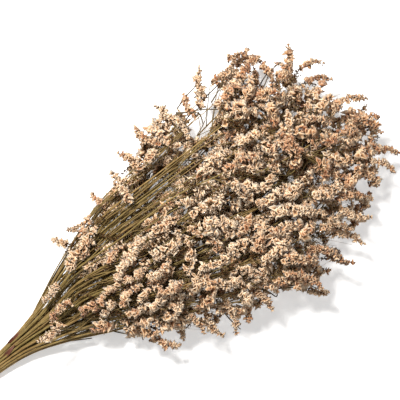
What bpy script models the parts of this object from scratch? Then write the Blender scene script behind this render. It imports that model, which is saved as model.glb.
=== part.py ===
"""A bunch of dried statice: branched flower stems held by a wound band, lying on a surface."""

import math

import bpy
import numpy as np
from mathutils import Matrix

# All sizes are in millimetres until the meshes are written, which is in metres.
METRE = 0.001
SEED = 66

# How the photograph looks down on the bunch. A pixel's place along and across the bunch is
# its place in the picture turned by PHOTO_TURN, from PHOTO_CENTRE, times the scale.
PHOTO_SIDE = 400
PHOTO_TURN = math.radians(37.0)
PHOTO_MM_PER_PIXEL = 1.1
PHOTO_CENTRE = (208.5, 14.0)

# The room that the flowers fill: along, low side, high side, underside, top.
ROOM = (
    (-150, -8, 38, 2, 48),
    (-108, -22, 58, 0, 66),
    (-86, -36, 72, 0, 78),
    (-60, -64, 90, 0, 90),
    (-20, -80, 94, 0, 106),
    (24, -106, 108, 0, 120),
    (68, -112, 126, 0, 127),
    (112, -128, 131, 0, 128),
    (156, -126, 134, 0, 126),
    (200, -110, 132, 0, 120),
    (222, -98, 124, 0, 114),
    (244, -88, 108, 5, 107),
    (266, -80, 80, 11, 98),
    (284, -68, 40, 20, 88),
    (293, -60, 22, 28, 78),
)
PRESSED = 1.2  # the surface presses the lowest florets flat by up to this much

# Gaps that the photograph shows, with no spike above or below them: middle pixel and radius.
GAPS = (
    (266, 74, 9),
    (262, 90, 5),
    (312, 89, 4),
    (335, 88, 7),
    (353, 90, 8),
    (200, 124, 13),
    (187, 103, 6),
    (214, 98, 7),
    (362, 188, 6),
    (283, 298, 8),
    (301, 293, 6),
)
# Along this line of pixels the stems lie bare on top, and spikes keep to the lower part.
BARE_FLANK = (112, 232, 218, 130)
BARE_FLANK_HALF = 16
BARE_FLANK_HEIGHT = 0.5

# The main stems: along, middle across, half width, middle height, half height, twist.
BUNDLE = (
    (-290, 18.4, 10.2, 12.5, 9.6, -12),
    (-246, 17.4, 8.6, 12.0, 8.6, -3),
    (-216, 17.0, 8.7, 12.2, 8.7, 0),
    (-180, 17.0, 13.5, 16.6, 12.0, 4),
    (-136, 16.6, 26.5, 26, 19.8, 9),
    (-84, 17, 49, 36, 28, 15),
    (-18, 10, 74, 48, 40, 23),
    (58, 8, 92, 58, 48, 30),
    (140, 2, 99, 60, 49, 36),
    (222, 8, 87, 60, 42, 41),
    (290, -10, 50, 58, 28, 43),
)
STEM_RINGS = 3  # rings of 6, 12 and 18 stems round the middle one
SPRAYS = 1 + 3 * STEM_RINGS * (STEM_RINGS + 1)
STEM_RADIUS_LOW = 1.45
STEM_RADIUS_HIGH = 0.95
STEM_SIDES = 3
STEM_REACH = 0.87  # of the radius: how far the sides of two such stems reach towards each other
LONGEST_STEM_END = 268
DOME_DROP = 100  # how much sooner an outermost stem ends than a middle one
STEM_END_SPREAD = 80
CUT_END_SPREAD = 9
STEM_STRAY = 6  # how far a stem wanders from its even place among the flowers

# Twigs and flower spikes
TWIG_RADIUS = 0.95
ROOT_RADIUS = 0.4
ROOT_TURNS = (0, 40, 75)  # degrees: ways to turn the stalks' corners until their union is sound
STRAIGHT_STALK = 26  # a shorter stalk has no joint
CORE_RADIUS = 3.3
FLORET_RISE = 4.8
FLORET_LEAN = 2.6
SPIKE_STEPS = 4
SPIKE_REACH = 6.45  # florets stay this close to the middle line
SPIKE_LENGTH = (33, 50)
SPIKE_BEND = (30, 130)
CLEAR = 0.35  # least gap between two sprays
SPIKES = 224
TRIES_END = 90
TRIES_SIDE = 110

# Spikes that stand out in the photograph: base pixel, tip pixel, the side that the outside of
# its curve faces (1 left of the way it grows, -1 right) and its height in the room (0 to 1).
PHOTO_SPIKES = (
    (202, 97, 199, 71, 1, 0.6),
    (214, 86, 236, 57, -1, 0.6),
    (239, 79, 257, 58, 1, 0.5),
    (253, 94, 255, 73, -1, 0.5),
    (281, 82, 288, 50, -1, 0.55),
    (307, 80, 329, 78, 1, 0.5),
    (328, 109, 361, 99, 1, 0.6),
    (346, 127, 376, 117, 1, 0.45),
    (352, 118, 376, 132, 1, 0.6),
    (372, 150, 398, 152, 1, 0.5),
    (364, 160, 391, 170, 1, 0.65),
    (352, 172, 377, 184, 1, 0.4),
    (343, 192, 367, 205, 1, 0.6),
    (338, 210, 366, 218, -1, 0.4),
    (333, 232, 362, 242, 1, 0.5),
    (322, 252, 352, 263, -1, 0.5),
    (300, 262, 330, 273, -1, 0.4),
    (296, 283, 328, 294, -1, 0.5),
    (238, 292, 250, 322, 1, 0.4),
    (226, 300, 236, 330, 1, 0.6),
    (203, 306, 221, 335, -1, 0.5),
    (170, 318, 183, 340, 1, 0.4),
    (150, 336, 178, 347, -1, 0.4),
    (128, 322, 154, 339, -1, 0.35),
    (196, 118, 184, 98, 1, 0.6),
    (190, 138, 168, 116, -1, 0.7),
    (176, 150, 154, 124, 1, 0.65),
    (132, 202, 118, 184, -1, 0.6),
    (340, 122, 366, 106, -1, 0.65),
    (322, 146, 350, 132, 1, 0.75),
    (334, 198, 360, 196, 1, 0.7),
    (318, 226, 348, 228, 1, 0.65),
    (306, 246, 340, 258, 1, 0.6),
    (284, 270, 318, 284, 1, 0.6),
    (250, 286, 270, 306, 1, 0.5),
    (186, 312, 204, 330, 1, 0.6),
    (172, 128, 158, 107, -1, 0.55),
    (158, 146, 136, 129, 1, 0.5),
    (140, 166, 122, 154, -1, 0.55),
    (132, 184, 112, 173, 1, 0.5),
    (106, 206, 93, 196, 1, 0.5),
    (84, 224, 70, 230, 1, 0.6),
    (66, 246, 52, 240, -1, 0.55),
    (58, 284, 46, 300, 1, 0.93),
    (70, 300, 52, 322, -1, 0.97),
    (64, 322, 44, 338, 1, 0.97),
    (116, 300, 104, 314, 1, 0.9),
)

# Spikes low in the bunch that it rests on: along and across at the base, and the way they point.
RESTING_SPIKES = (
    (150, 66, 8),
    (150, -62, -12),
    (70, 48, 6),
    (66, -44, -8),
    (196, 10, 0),
    (0, -38, -14),
)
RESTING_PRESS = 0.9

# The band round the stems
TIE_ALONG = -230
BAND_TURNS = 4
BAND_TURN_WIDTH = 2.6
BAND_THICK = 1.7
BAND_INNER = 10.4
BAND_STEPS = 28


def unit(v):
    v = np.asarray(v, float)
    return v / np.linalg.norm(v)


def square_to(v, axis):
    """The part of v at right angles to axis, as a unit vector."""
    v = np.asarray(v, float)
    return unit(v - np.dot(v, axis) * axis)


def photo_point(u, v):
    """Where a pixel of the photograph lies, along and across the bunch."""
    up = PHOTO_SIDE - v
    along = u * math.cos(PHOTO_TURN) + up * math.sin(PHOTO_TURN)
    across = up * math.cos(PHOTO_TURN) - u * math.sin(PHOTO_TURN)
    return np.array([along - PHOTO_CENTRE[0], across - PHOTO_CENTRE[1]]) * PHOTO_MM_PER_PIXEL


def pixels_of(points):
    """The pixel of the photograph over each point."""
    along = points[:, 0] / PHOTO_MM_PER_PIXEL + PHOTO_CENTRE[0]
    across = points[:, 1] / PHOTO_MM_PER_PIXEL + PHOTO_CENTRE[1]
    u = along * math.cos(PHOTO_TURN) - across * math.sin(PHOTO_TURN)
    v = PHOTO_SIDE - along * math.sin(PHOTO_TURN) - across * math.cos(PHOTO_TURN)
    return np.stack([u, v], axis=1)


def columns_at(table, along):
    """Each column of a table, read between its rows at a distance along the bunch."""
    rows = np.array(table, float)
    return [np.interp(along, rows[:, 0], rows[:, k]) for k in range(1, rows.shape[1])]


def is_in_room(points, reach):
    """Whether balls of this reach at the points stay in the room for flowers."""
    if points[:, 0].max() + reach > ROOM[-1][0] or points[:, 0].min() < ROOM[0][0]:
        return False
    low, high, under, top = columns_at(ROOM, points[:, 0])
    across = (points[:, 1] - (low + high) / 2) / np.maximum((high - low) / 2 - reach, 1)
    height = (points[:, 2] - (under + top) / 2) / np.maximum((top - under) / 2 - reach + PRESSED / 2, 1)
    power = np.where(height > 0, 2.6, 3.2)
    if (np.abs(across) ** power + np.abs(height) ** power > 1).any():
        return False
    pixels = pixels_of(points)
    for u, v, radius in GAPS:
        if np.hypot(pixels[:, 0] - u, pixels[:, 1] - v).min() < radius + 0.5 * reach:
            return False
    start, end = np.array(BARE_FLANK[:2]), np.array(BARE_FLANK[2:])
    line = (end - start) / np.linalg.norm(end - start)
    from_start = pixels - start
    beside = np.abs(from_start[:, 0] * line[1] - from_start[:, 1] * line[0]) < BARE_FLANK_HALF
    beside &= (from_start @ line > 0) & (from_start @ line < np.linalg.norm(end - start))
    return not (beside & (points[:, 2] > under + BARE_FLANK_HEIGHT * (top - under))).any()


def segment_gaps(starts, ends, other_starts, other_ends):
    """The least distance between each straight length of one list and each of another."""
    d1 = (ends - starts)[:, None]
    d2 = (other_ends - other_starts)[None]
    r = starts[:, None] - other_starts[None]
    a = (d1 * d1).sum(-1)
    e = (d2 * d2).sum(-1)
    b = (d1 * d2).sum(-1)
    c = (d1 * r).sum(-1)
    f = (d2 * r).sum(-1)
    lean = a * e - b * b
    s = np.clip(np.where(lean > 1e-9, (b * f - c * e) / np.maximum(lean, 1e-9), 0), 0, 1)
    t = np.clip((b * s + f) / e, 0, 1)
    s = np.clip((b * t - c) / a, 0, 1)
    return np.linalg.norm(r + s[..., None] * d1 - t[..., None] * d2, axis=-1)


class Bunch:
    """Every straight length laid so far, with its reach and its piece, to keep new ones clear."""

    def __init__(self):
        self.starts = np.zeros((0, 3))
        self.ends = np.zeros((0, 3))
        self.reach = np.zeros(0)
        self.piece = np.zeros(0, int)
        self.middles = np.zeros((0, 3))
        self.count = 0

    def lay(self, starts, ends, reach):
        """Adds one piece and returns its number."""
        self.starts = np.vstack([self.starts, starts])
        self.ends = np.vstack([self.ends, ends])
        self.reach = np.concatenate([self.reach, reach])
        self.piece = np.concatenate([self.piece, np.full(len(reach), self.count)])
        self.count += 1
        return self.count - 1

    def drop(self, piece):
        kept = self.piece != piece
        self.starts, self.ends = self.starts[kept], self.ends[kept]
        self.reach, self.piece = self.reach[kept], self.piece[kept]

    def least_gap(self, starts, ends, reach, parent=None, root=None, rooted=1):
        """The least gap to anything laid. The first lengths may meet the parent at the root."""
        low = np.minimum(starts, ends).min(0) - 9
        high = np.maximum(starts, ends).max(0) + 9
        near = (np.minimum(self.starts, self.ends) < high).all(1)
        near &= (np.maximum(self.starts, self.ends) > low).all(1)
        if not near.any():
            return 9.0
        gaps = segment_gaps(starts, ends, self.starts[near], self.ends[near])
        gaps -= reach[:, None] + self.reach[near][None]
        if parent is not None:
            to_root = segment_gaps(root[None], root[None] + 1e-3, self.starts[near], self.ends[near])
            gaps[:rooted, (self.piece[near] == parent) & (to_root[0] < 0.8)] = 9
        return float(gaps.min())


def warp(points):
    """Bends the whole bundle a little, more among the flowers, so that no stem runs straight."""
    x, y, z = points[:, 0], points[:, 1], points[:, 2]
    amount = np.clip((x + 200) / 190, 0, 1)
    side = 5.0 * np.sin(x / 31 + z / 26 + 0.6) + 3.6 * np.sin(x / 53 - z / 19 + y / 70)
    lift = 3.2 * np.sin(x / 37 + y / 29 + 2.0)
    return points + np.stack([np.zeros_like(x), amount * side, amount * lift], axis=1)


def place_in_tie(index):
    """A stem's ring, as a share of the outermost, and its angle in the ring."""
    ring = 0
    while index > 3 * ring * (ring + 1):
        ring += 1
    if not ring:
        return 0.0, 0.0
    step = index - 1 - 3 * ring * (ring - 1)
    return ring / STEM_RINGS, 2 * math.pi * step / (6 * ring) + 0.35 * ring


def stem_points(index, far, stray):
    """The main stem of one spray, from its cut end to its far end."""
    ring, angle = place_in_tie(index)
    stations = [row[0] for row in BUNDLE if row[0] < far - 25] + [far]
    points = []
    for along in stations:
        middle, wide, height, tall, twist = columns_at(BUNDLE, along)
        turned = angle + math.radians(twist)
        amount = np.clip((along + 140) / 200, 0, 1)
        points.append((
            along,
            middle + wide * ring * math.cos(turned) + amount * stray[0],
            height + tall * ring * math.sin(turned) + amount * stray[1],
        ))
    return warp(np.array(points))


def stem_reach(stem):
    """How far each length of a main stem reaches from its middle line."""
    return STEM_REACH * np.linspace(STEM_RADIUS_LOW, STEM_RADIUS_HIGH, len(stem))[:-1]


def curved_spike(base, direction, faces_to, length, bend, steps=SPIKE_STEPS):
    """Points of a spike that curls over, and at each point the way its florets face."""
    back = square_to(faces_to, direction)
    points = [np.asarray(base, float)]
    faces = []
    for k in range(steps + 1):
        turn = bend * (k / steps) ** 1.25
        faces.append(math.sin(turn) * direction + math.cos(turn) * back)
        if k < steps:
            half = bend * ((k + 0.5) / steps) ** 1.25
            points.append(points[-1] + (math.cos(half) * direction - math.sin(half) * back) * length / steps)
    return np.array(points), np.array(faces)


class Twig:
    """A stalk from its root on a parent to the base of its spike, and the spike."""

    def __init__(self, root, stalk, spike, faces):
        self.root = root
        self.stalk = np.array(stalk)
        self.spike = spike
        self.faces = faces

    def lengths(self):
        """Its straight lengths, with more reach along the spike."""
        starts = np.vstack([self.stalk[:-1], self.spike[:-1]])
        ends = np.vstack([self.stalk[1:], self.spike[1:]])
        reach = np.array([TWIG_RADIUS] * (len(self.stalk) - 1) + [SPIKE_REACH] * (len(self.spike) - 1))
        reach[-1] = SPIKE_REACH - 1
        return starts, ends, reach


def outward(point):
    """Away from the middle of the bunch, with a lean upwards."""
    low, high, under, top = columns_at(ROOM, point[0])
    y = (point[1] - (low + high) / 2) / (high - low)
    z = (point[2] - (under + top) / 2) / (top - under)
    return unit((0.15, 1.1 * y, 1.4 * z + 0.45))


def point_along(path, distance):
    """The point at this distance along a path, and the path's direction there."""
    steps = np.linalg.norm(np.diff(path, axis=0), axis=1)
    for k, step in enumerate(steps):
        if distance <= step or k == len(steps) - 1:
            direction = (path[k + 1] - path[k]) / step
            return path[k] + direction * min(distance, step), direction
        distance -= step


def path_length(path):
    return float(np.linalg.norm(np.diff(path, axis=0), axis=1).sum())


def shortened(path, length):
    """The first part of a path."""
    point, _ = point_along(path, length)
    steps = np.cumsum(np.linalg.norm(np.diff(path, axis=0), axis=1))
    return np.vstack([path[:1], path[1:][steps < length - 3], point])


def turned_from(axis, angle, around):
    """A direction at an angle from an axis, turned round it."""
    first = square_to((0.13, 0.37, 0.92), axis)
    second = np.cross(axis, first)
    aside = math.cos(around) * first + math.sin(around) * second
    return math.cos(angle) * axis + math.sin(angle) * aside


def side_twig(root, tangent, leave, length, rng):
    """A twig that leaves its parent in one direction and then turns a little forward."""
    if length > STRAIGHT_STALK:
        direction = unit(leave + rng.uniform(0.05, 0.3) * tangent)
        joint = root + leave * length * 0.5
        stalk = [root, joint, joint + direction * length * 0.5]
    else:
        direction = leave
        stalk = [root, root + leave * length]
    faces_to = outward(root) + rng.normal(0, 0.45, 3)
    bend = math.radians(rng.uniform(*SPIKE_BEND))
    spike, faces = curved_spike(stalk[-1], direction, faces_to, rng.uniform(*SPIKE_LENGTH), bend)
    return Twig(root, stalk, spike, faces)


def end_twig(stem, rng):
    """The spike that carries on from the end of a main stem."""
    tangent = unit(stem[-1] - stem[-2])
    root = stem[-1] - 4 * tangent
    start = turned_from(tangent, rng.uniform(0, 0.25), rng.uniform(0, 2 * math.pi))
    faces_to = outward(root) + rng.normal(0, 0.4, 3)
    bend = math.radians(rng.uniform(*SPIKE_BEND))
    spike, faces = curved_spike(root + 3 * start, start, faces_to, rng.uniform(*SPIKE_LENGTH), bend)
    return Twig(root, [root, root + 3 * start], spike, faces)


class Growth:
    """Main stems with their twigs, all clear of each other."""

    def __init__(self, rng):
        self.rng = rng
        self.bunch = Bunch()
        self.stems = []
        self.twigs = [[] for _ in range(SPRAYS)]
        self.pieces = []
        for index in range(SPRAYS):
            self.grow_stem(index)
        for index in range(SPRAYS):
            self.grow_end(index)
        for spike in RESTING_SPIKES:
            self.grow_resting_spike(*spike)
        for spike in PHOTO_SPIKES:
            self.grow_photo_spike(*spike)
        order = list(range(SPRAYS))
        for _ in range(9):
            rng.shuffle(order)
            for index in order:
                if sum(len(twigs) for twigs in self.twigs) < SPIKES:
                    self.grow_side(index)

    def grow_stem(self, index):
        ring, _ = place_in_tie(index)
        best = None
        for tries in range(30):
            far = LONGEST_STEM_END - DOME_DROP * ring ** 2.2 - self.rng.uniform(0, STEM_END_SPREAD)
            stray = self.rng.normal(0, STEM_STRAY, 2) * (1 - tries / 40)
            stem = stem_points(index, far, stray)
            stem[0, 0] += self.rng.uniform(0, CUT_END_SPREAD)
            reach = stem_reach(stem)
            gap = self.bunch.least_gap(stem[:-1], stem[1:], reach)
            if stem[:, 2].min() < 1.6:
                gap = -9
            if best is None or gap > best[0]:
                best = (gap, stem, reach)
            if gap > CLEAR * 0.8:
                break
        self.stems.append(best[1])
        self.pieces.append([self.bunch.lay(best[1][:-1], best[1][1:], best[2])])

    def fits(self, twig, parent, rooted=1, in_room=True):
        if in_room and not is_in_room(twig.spike, SPIKE_REACH - 1):
            return False
        if twig.stalk[:, 2].min() < 2 or (twig.spike[:, 2] - SPIKE_REACH).min() < -PRESSED:
            return False
        return self.bunch.least_gap(*twig.lengths(), parent, twig.root, rooted) >= CLEAR

    def keep(self, index, twig):
        self.pieces[index].append(self.bunch.lay(*twig.lengths()))
        self.twigs[index].append(twig)
        self.bunch.middles = np.vstack([self.bunch.middles, twig.spike[len(twig.spike) // 2]])

    def openness(self, twig):
        """How far the middle of a spike is from the nearest one laid."""
        if not len(self.bunch.middles):
            return 30.0
        middle = twig.spike[len(twig.spike) // 2]
        gap = np.linalg.norm((self.bunch.middles - middle) * (1, 1, 0.75), axis=1).min()
        return gap + 0.05 * middle[2]

    def reach_out(self, spike, faces):
        """Joins a spike to whichever stem reaches it most directly, and says whether one can."""
        ways = []
        start = unit(spike[1] - spike[0])
        for index, stem in enumerate(self.stems):
            total = path_length(stem)
            for distance in np.arange(90, total - 8, 9):
                root, tangent = point_along(stem, distance)
                way = spike[0] - root
                length = float(np.linalg.norm(way))
                angle = math.degrees(math.acos(np.clip(np.dot(way / length, tangent), -1, 1)))
                if 7 < length < 110 and angle < 75:
                    ways.append((length + 1.2 * abs(angle - 28), index, root, tangent, length))
        ways.sort(key=lambda way: way[0])
        for _, index, root, tangent, length in ways[:160]:
            stalk = [root, spike[0]]
            if length > 13:
                stalk.insert(1, (root + spike[0]) / 2 + 0.1 * length * (tangent - start))
            twig = Twig(root, stalk, spike, faces)
            if self.fits(twig, self.pieces[index][0], in_room=False):
                self.keep(index, twig)
                return True
        return False

    def grow_resting_spike(self, along, across, turn):
        """A spike that lies on the surface, near its place."""
        for dx, dy in ((0, 0), (12, 0), (-12, 0), (0, 12), (0, -12), (24, 8), (-24, -8), (36, 0)):
            heading = math.radians(turn)
            flat = np.array([math.cos(heading), math.sin(heading), 0])
            up = np.array([0, 0, 1.0])
            bend = math.radians(8)
            start = math.cos(bend / 2) * flat + math.sin(bend / 2) * up
            base = np.array([along + dx, across + dy, SPIKE_REACH - RESTING_PRESS])
            if self.reach_out(*curved_spike(base, start, up, 40, bend)):
                return
        print("no room for the resting spike at", along, across)

    def grow_photo_spike(self, u0, v0, u1, v1, side, level):
        """A spike that the photograph shows."""
        base, tip = photo_point(u0, v0), photo_point(u1, v1)
        chord = np.array([*(tip - base), 0.0])
        reach = float(np.linalg.norm(chord))
        chord = chord / reach
        left = np.array([-chord[1], chord[0], 0.0])
        base = base - 0.1 * reach * side * left[:2]
        faces_to = unit(0.75 * side * left + np.array([0, 0, 0.66]))
        bend = math.radians(75 if reach > 24 else 45)
        start = math.cos(bend / 2) * chord + math.sin(bend / 2) * faces_to
        steps = SPIKE_STEPS if reach > 24 else SPIKE_STEPS - 1
        _, _, under, top = columns_at(ROOM, base[0])
        for shift in (0, 6, -6, 12, -12, 18, -18, 25, -25, 32, -32):
            height = np.clip(under + level * (top - under) + shift, 8, 140)
            spike = curved_spike(np.array([*base, height]), start, faces_to, reach * 1.08, bend, steps)
            if self.reach_out(*spike):
                return
        print("no room for the spike at", u0, v0)

    def grow_end(self, index):
        """The spike that ends a main stem, which is cut shorter where there is no room for it."""
        whole = self.stems[index]
        piece = self.pieces[index][0]
        for share in (1, 0.95, 0.9, 0.85, 0.8, 0.75, 0.7):
            stem = shortened(whole, share * path_length(whole))
            best = None
            for _ in range(TRIES_END):
                twig = end_twig(stem, self.rng)
                score = self.openness(twig)
                if (best is None or score > best[0]) and self.fits(twig, piece, 3):
                    best = (score, twig)
            if best:
                self.stems[index] = stem
                self.bunch.drop(piece)
                self.pieces[index][0] = self.bunch.lay(stem[:-1], stem[1:], stem_reach(stem))
                self.keep(index, best[1])
                return
        print("no room for the end spike of stem", index + 1)

    def grow_side(self, index):
        """One more twig on a spray, where the bunch has most room."""
        rng = self.rng
        best = None
        for _ in range(TRIES_SIDE):
            if self.twigs[index] and rng.random() < 0.4:
                pick = int(rng.integers(len(self.twigs[index])))
                path = self.twigs[index][pick].stalk
                total = path_length(path)
                if total < 14:
                    continue
                parent = self.pieces[index][pick + 1]
                root, tangent = point_along(path, rng.uniform(5, total - 8))
                length = rng.uniform(7, 24)
                angle = math.radians(rng.uniform(28, 62))
            else:
                path = self.stems[index]
                total = path_length(path)
                parent = self.pieces[index][0]
                root, tangent = point_along(path, rng.uniform(0.36 * total, total - 9))
                length = rng.uniform(13, 58)
                angle = math.radians(rng.uniform(24, 55))
            leave = turned_from(tangent, angle, rng.uniform(0, 2 * math.pi))
            twig = side_twig(root, tangent, leave, length, rng)
            score = self.openness(twig)
            if (best is None or score > best[0]) and self.fits(twig, parent):
                best = (score, twig)
        if best:
            self.keep(index, best[1])


def path_directions(path):
    steps = np.diff(path, axis=0)
    steps = steps / np.linalg.norm(steps, axis=1)[:, None]
    joined = np.vstack([steps[:1], steps[:-1] + steps[1:], steps[-1:]])
    return joined / np.linalg.norm(joined, axis=1)[:, None]


def ring_of(centre, axis, up, radius, sides):
    """Corners of a ring, the first of them towards up."""
    first = square_to(up, axis)
    second = np.cross(axis, first)
    angles = np.arange(sides) * 2 * math.pi / sides
    return [centre + radius * (math.cos(a) * first + math.sin(a) * second) for a in angles]


class Shell:
    """Corners and faces of one closed shape."""

    def __init__(self):
        self.points = []
        self.faces = []

    def add(self, corners):
        first = len(self.points)
        self.points.extend(corners)
        return list(range(first, len(self.points)))

    def join(self, low, high):
        """Sides between two rings of the same count."""
        sides = len(low)
        for k in range(sides):
            after = (k + 1) % sides
            self.faces.append((low[k], low[after], high[after], high[k]))

    def close(self, first, last):
        self.faces.append(tuple(reversed(first)))
        self.faces.append(tuple(last))

    def press_on_surface(self):
        """Flattens what would reach through the surface that the bunch lies on."""
        self.points = [np.array([x, y, max(z, 0.0)]) for x, y, z in self.points]

    def as_object(self, name):
        mesh = bpy.data.meshes.new(name)
        mesh.from_pydata([tuple(point * METRE) for point in self.points], [], self.faces)
        mesh.update()
        made = bpy.data.objects.new(name, mesh)
        bpy.context.scene.collection.objects.link(made)
        return made


def stem_shell(stem):
    """A main stem, thinner towards its flowers."""
    shell = Shell()
    radii = np.linspace(STEM_RADIUS_LOW, STEM_RADIUS_HIGH, len(stem))
    up = (0, 0.4, 1)
    rings = []
    for point, direction, radius in zip(stem, path_directions(stem), radii):
        up = square_to(up, direction)
        rings.append(shell.add(ring_of(point, direction, up, radius, STEM_SIDES)))
    for low, high in zip(rings, rings[1:]):
        shell.join(low, high)
    shell.close(rings[0], rings[-1])
    return shell


def twig_shell(twig, turn):
    """A three-sided stalk that widens into the spike, whose sides carry the florets."""
    shell = Shell()
    path = np.vstack([twig.stalk, twig.spike[1:]])
    base = len(twig.stalk) - 1
    steps = len(path) - 1
    directions = path_directions(path)
    aside = np.cross(directions[0], twig.faces[0])
    stalk_up = math.cos(math.radians(turn)) * twig.faces[0] + math.sin(math.radians(turn)) * aside
    up = [stalk_up] * base + list(twig.faces)
    rings = []
    for k in range(steps + 1):
        if k == 0:
            radius = ROOT_RADIUS
        elif k < base:
            radius = TWIG_RADIUS
        elif k == base:
            radius = TWIG_RADIUS * 1.5
        elif k == steps:
            radius = CORE_RADIUS * 0.4
        else:
            radius = CORE_RADIUS
        rings.append(shell.add(ring_of(path[k], directions[k], up[k], radius, 3)))
    for k in range(steps):
        low, high = rings[k], rings[k + 1]
        if k < base:
            shell.join(low, high)
            continue
        forward = unit(path[k + 1] - path[k])
        last = k == steps - 1
        for side in range(3):
            after = (side + 1) % 3
            add_floret(shell, low[side], low[after], high[after], high[side], forward, last)
    shell.close(rings[0], rings[-1])
    return shell


def add_floret(shell, a, b, c, d, forward, last):
    """A floret as a peak on one side of the core, leaning towards the tip of the spike."""
    corners = [shell.points[n] for n in (a, b, c, d)]
    out = unit(np.cross(corners[2] - corners[0], corners[3] - corners[1]))
    rise = FLORET_RISE * (0.75 if last else 1)
    lean = FLORET_LEAN * (0.4 if last else 1)
    (peak,) = shell.add([np.mean(corners, axis=0) + rise * out + lean * forward])
    shell.faces += [(a, b, peak), (b, c, peak), (c, d, peak), (d, a, peak)]


def band_shell():
    """A closed ring of several turns that lie side by side round the stems."""
    across = columns_at(BUNDLE, TIE_ALONG)[0]
    half = BAND_TURNS * BAND_TURN_WIDTH / 2
    profile = [(0.4 - half, BAND_INNER)]
    for turn in range(BAND_TURNS):
        start = turn * BAND_TURN_WIDTH - half
        if turn:
            profile.append((start, BAND_INNER + BAND_THICK * 0.45))
        profile.append((start + BAND_TURN_WIDTH * 0.3, BAND_INNER + BAND_THICK))
        profile.append((start + BAND_TURN_WIDTH * 0.7, BAND_INNER + BAND_THICK))
    profile.append((half - 0.4, BAND_INNER))
    shell = Shell()
    rings = []
    height = (BAND_INNER + BAND_THICK) * math.cos(math.pi / BAND_STEPS)
    for k in range(BAND_STEPS):
        angle = 2 * math.pi * (k + 0.5) / BAND_STEPS
        rings.append(shell.add([
            np.array([TIE_ALONG + s, across + r * math.sin(angle), height - r * math.cos(angle)])
            for s, r in profile
        ]))
    for k in range(BAND_STEPS):
        shell.join(rings[(k + 1) % BAND_STEPS], rings[k])
    return shell


def material(name, color, roughness):
    made = bpy.data.materials.new(name)
    made.use_nodes = True
    shader = made.node_tree.nodes["Principled BSDF"]
    shader.inputs["Base Color"].default_value = (*color, 1)
    shader.inputs["Roughness"].default_value = roughness
    return made


def is_one_body(mesh):
    """Whether the mesh's triangles close it and hang together by their edges."""
    mesh.calc_loop_triangles()
    corners = np.zeros(3 * len(mesh.loop_triangles), int)
    mesh.loop_triangles.foreach_get("vertices", corners)
    corners = corners.reshape(-1, 3)
    sides = np.sort(np.vstack([corners[:, [0, 1]], corners[:, [1, 2]], corners[:, [2, 0]]]), axis=1)
    edges = sides[:, 0] * len(mesh.vertices) + sides[:, 1]
    order = np.argsort(edges, kind="stable")
    if (np.unique(edges, return_counts=True)[1] != 2).any():
        return False
    pairs = (order % len(corners)).reshape(-1, 2)
    group = np.arange(len(corners))
    while True:
        least = group[pairs].min(axis=1)
        if (group[pairs] == least[:, None]).all():
            return bool((group == 0).all())
        np.minimum.at(group, pairs[:, 0], least)
        np.minimum.at(group, pairs[:, 1], least)


def joined(name, shells, solver):
    """A mesh of the first shell and all the others, which overlap it or each other, by one union."""
    body = shells[0].as_object(name)
    growth = bpy.data.collections.new(name + "_growth")
    bpy.context.scene.collection.children.link(growth)
    for k, shell in enumerate(shells[1:]):
        piece = shell.as_object(f"{name}_growth_{k}")
        bpy.context.scene.collection.objects.unlink(piece)
        growth.objects.link(piece)
    union = body.modifiers.new("growth", "BOOLEAN")
    union.operation = "UNION"
    union.operand_type = "COLLECTION"
    union.collection = growth
    union.solver = solver
    bpy.context.view_layer.update()
    mesh = bpy.data.meshes.new_from_object(body.evaluated_get(bpy.context.evaluated_depsgraph_get()))
    for piece in [body, *growth.objects]:
        bpy.data.objects.remove(piece, do_unlink=True)
    bpy.data.collections.remove(growth)
    return mesh


def spray(name, stem, twigs):
    """A main stem with its twigs as one body, with its origin at the cut end."""
    for turn in ROOT_TURNS:
        shells = [stem_shell(stem)] + [twig_shell(twig, turn) for twig in twigs]
        for shell in shells:
            shell.press_on_surface()
        for solver in ("EXACT", "MANIFOLD"):
            mesh = joined(name, shells, solver)
            if is_one_body(mesh):
                body = bpy.data.objects.new(name, mesh)
                body.location = stem[0] * METRE
                mesh.transform(Matrix.Translation(-body.location))
                bpy.context.scene.collection.objects.link(body)
                return body
        print(name, "isn't one body with its stalks turned by", turn)
    raise ValueError(name + " isn't one body")


def main():
    for item in list(bpy.data.objects):
        bpy.data.objects.remove(item, do_unlink=True)
    growth = Growth(np.random.default_rng(SEED))
    for index, (stem, twigs) in enumerate(zip(growth.stems, growth.twigs)):
        name = f"spray_{index + 1:02d}"
        body = spray(name, stem, twigs)
        body.data.materials.clear()
        shade = 0.9 + 0.02 * ((index * 7) % 10)
        body.data.materials.append(material(name, (0.52 * shade, 0.36 * shade, 0.25 * shade), 0.85))
    band = band_shell().as_object("rubber_band")
    band.data.shade_smooth()
    band.data.set_sharp_from_angle(angle=math.radians(50))
    band.data.materials.append(material("rubber_band", (0.55, 0.38, 0.2), 0.6))
    print("spikes", sum(len(twigs) for twigs in growth.twigs))


main()
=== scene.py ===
"""The looks of a bunch of dried statice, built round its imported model.

Papery florets, brown scales, stalks, dry leaves and the band."""
import math

import bpy
import numpy as np
from mathutils import Matrix, Vector


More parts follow.
